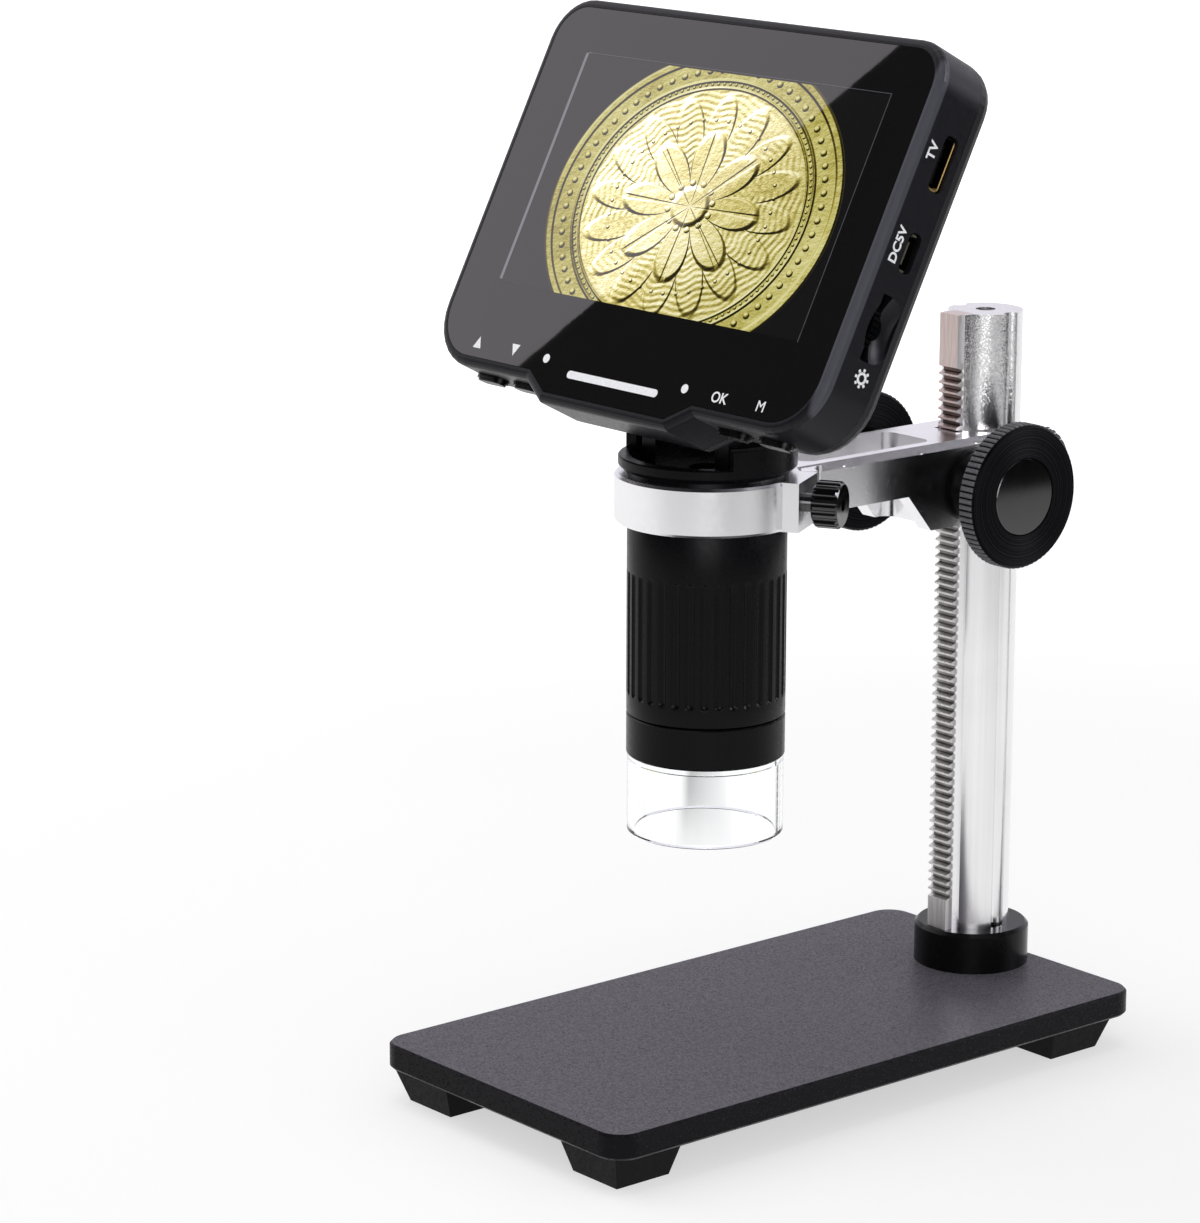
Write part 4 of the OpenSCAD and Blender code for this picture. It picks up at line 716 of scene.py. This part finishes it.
def floor_finish():
    """White to the camera, and a table to gloss: it ends on the right, where the room is dark."""
    mat, n = material("floor")
    at = n.object()
    light = n.add("ShaderNodeLightPath")
    paths = light.node.outputs
    seen = n.m("MAXIMUM", paths["Is Camera Ray"], paths["Is Transmission Ray"])
    glossy = paths["Is Glossy Ray"]
    past = n.v("DOT_PRODUCT", at, (1.0, 0.08, 0.0), out=1)
    behind = n.step(n.xyz(at)[1], 0.26, 0.36)
    dark = n.m("MULTIPLY", n.step(past, TABLE_EDGE - 0.008, TABLE_EDGE + 0.008), behind)
    glow = n.m("MULTIPLY", n.m("SUBTRACT", 1.0, n.m("MULTIPLY", dark, 0.98)),
               n.lerp(past, TABLE_EDGE - 0.1, TABLE_EDGE, 1.0, 0.66))
    front = n.v("DOT_PRODUCT", at, (0.6, -0.8, 0.0), out=1)
    glow = n.m("MULTIPLY", glow, n.step(front, 0.38, 0.6, 1.0, 0.66))
    strength = n.m("ADD", n.m("MULTIPLY", glossy, glow), n.m("SUBTRACT", 1.0, glossy))
    backlit = n.step(n.v("LENGTH", at, out=1), 0.25, 1.1, 0.12, 1.2)
    grain = n.noise(at, 8.0, 2.0)
    diffuse = n.add("ShaderNodeBsdfDiffuse", {0: n.mix(grain, rgb(246, 246, 247), rgb(250, 250, 251))})
    strength = n.m("ADD", strength, n.m("MULTIPLY", seen, backlit))
    emit = n.add("ShaderNodeEmission", {0: (1, 1, 1, 1), 1: strength})
    fac = n.m("ADD", n.m("MULTIPLY", seen, 0.52), glossy, clamp=True)
    n.output(n.add("ShaderNodeMixShader", {0: fac, 1: diffuse, 2: emit}))
    return mat


bpy.ops.mesh.primitive_plane_add(size=12.0, location=(0, 0, 0))
floor = bpy.context.object
floor.name = "floor"
floor.data.materials.append(floor_finish())


def area(name, at, look, power, w, h, up=Vector((0, 0, 1)), colour=(1, 1, 1)):
    """A lamp of w by h that faces the point look, hidden from the camera."""
    data = bpy.data.lights.new(name, "AREA")
    data.shape = "RECTANGLE"
    data.size, data.size_y, data.energy, data.color = w, h, power, colour
    obj = bpy.data.objects.new(name, data)
    scene.collection.objects.link(obj)
    z = (Vector(at) - Vector(look)).normalized()
    x = up.cross(z).normalized()
    y = z.cross(x)
    obj.matrix_world = axes_at(x, y, z, Vector(at))
    obj.visible_camera = False


def on_glass(px, py):
    """Point of the glass front that the camera sees at a pixel."""
    ray = CAM_RIGHT * ((px - IMAGE_W / 2) / FOCAL_PX) + CAM_UP * ((IMAGE_H / 2 - py) / FOCAL_PX) - CAM_BACK
    return CAM_AT + ray * ((ORIGIN * MM - CAM_AT).dot(OUT) / ray.dot(OUT))


# A card beside the camera: its edge crosses the glass between these two pixels
CARD_EDGE_A, CARD_EDGE_B = (522, 363), (897, 47)
edge_a, edge_b = on_glass(*CARD_EDGE_A), on_glass(*CARD_EDGE_B)
mirrored = CAM_AT - OUT * (2 * (CAM_AT - ORIGIN * MM).dot(OUT))
toward = ((edge_a + edge_b) / 2 - mirrored).normalized()
inward = (edge_a - mirrored).cross(edge_b - mirrored).normalized()
corner = DISPLAY @ Vector((-0.055, 0.035, 0.0))
if (corner - mirrored).dot(inward) < 0:
    inward = -inward
inward = (inward - toward * inward.dot(toward)).normalized()
CARD_W, CARD_L, CARD_AWAY, CARD_RADIANCE = 0.55, 1.1, 0.9, 1.4
card_at = (edge_a + edge_b) / 2 + toward * CARD_AWAY + inward * (CARD_W / 2)
area("card", card_at, card_at - toward, CARD_RADIANCE * math.pi * CARD_W * CARD_L, CARD_L, CARD_W, inward,
     (1.0, 0.94, 1.0))

area("top_lamp", (-0.1, -0.1, 1.2), (0, 0, 0.1), 3.0, 0.9, 0.9, Vector((0, 1, 0)))
area("front_lamp", CAM_BACK * 1.35 + Vector((0.0, 0.0, 0.1)), (0, 0, 0.12), 3.6, 0.7, 0.7)

HOOD_MIDDLE = Vector((0.0, TUBE_Y, 70.0))
HOOD_CARD_W, HOOD_CARD_H, HOOD_CARD_AWAY, HOOD_CARD_RIGHT = 0.02, 0.058, 0.2, 0.0042


def hood_reflection_card():
    """A pale grey card that stands on the table far behind the hood, seen only through its clear wall: the grey
    band it lays on the hood is a painted reflection.
    """
    mat, n = material("hood_reflection_card")
    across, up, _ = n.xyz(n.object())
    depth = n.m("MULTIPLY", n.step(across, -0.5, -0.3), n.lerp(across, -0.3, 0.5, 0.5, 0.0))
    depth = n.m("MULTIPLY", depth, n.step(up, -0.5, -0.1))
    tone = n.m("MULTIPLY", n.m("SUBTRACT", 1.0, depth), n.lerp(n.noise(n.object(), 3.0), 0.3, 0.7, 0.98, 1.02))
    n.output(n.add("ShaderNodeEmission", {0: (1, 1, 1, 1), 1: tone}))
    bpy.ops.mesh.primitive_plane_add(size=1.0)
    card = bpy.context.object
    card.name = "hood_reflection_card"
    card.data.materials.append(mat)
    at = HOOD_MIDDLE * MM - CAM_BACK * HOOD_CARD_AWAY + CAM_RIGHT * HOOD_CARD_RIGHT
    card.matrix_world = axes_at(CAM_RIGHT * HOOD_CARD_W, CAM_UP * HOOD_CARD_H, CAM_BACK, at)
    card.visible_camera = card.visible_glossy = card.visible_diffuse = card.visible_shadow = False


hood_reflection_card()

# What gloss sees in the room: direction, where each patch begins and is full, as a cosine, and its strength
ROOM = [((-0.746, 0.623, 0.234), 0.4, 0.75, 0.82), ((0, 0, 1), 0.75, 0.95, 0.6),
        ((0.8, -0.6, 0.1), 0.7, 0.95, 0.5), ((0.26, 0.96, 0.1), 0.8, 0.95, 0.85),
        ((0.68, -0.63, 0.38), 0.93, 0.985, 2.0), ((0.65, 0.623, 0.43), 0.94, 0.985, 8.0)]
ROOM_DARK, ROOM_DIFFUSE = 0.06, 0.55

world = bpy.data.worlds.new("studio")
scene.world = world
world.use_nodes = True
n = Nodes(world.node_tree)
light = n.add("ShaderNodeLightPath")
paths = light.node.outputs
sky = n.v("NORMALIZE", n.add("ShaderNodeTexCoord", out=0))
reflect = ROOM_DARK
for direction, low, high, strength in ROOM:
    facing = n.v("DOT_PRODUCT", sky, tuple(Vector(direction).normalized()), out=1)
    reflect = n.m("ADD", reflect, n.step(facing, low, high, 0.0, strength))
seen = n.m("MAXIMUM", paths["Is Camera Ray"], paths["Is Transmission Ray"])
glossy = paths["Is Glossy Ray"]
level = n.m("ADD", n.m("MULTIPLY", glossy, reflect),
            n.m("MULTIPLY", n.m("SUBTRACT", 1.0, glossy), ROOM_DIFFUSE))
level = n.m("ADD", seen, n.m("MULTIPLY", n.m("SUBTRACT", 1.0, seen), level))
tint = n.mix(glossy, (1, 1, 1, 1), (0.97, 0.95, 1.03, 1))
background = n.add("ShaderNodeBackground", {0: tint, 1: level})
world_out = world.node_tree.nodes.new("ShaderNodeOutputWorld")
world.node_tree.links.new(background, world_out.inputs[0])
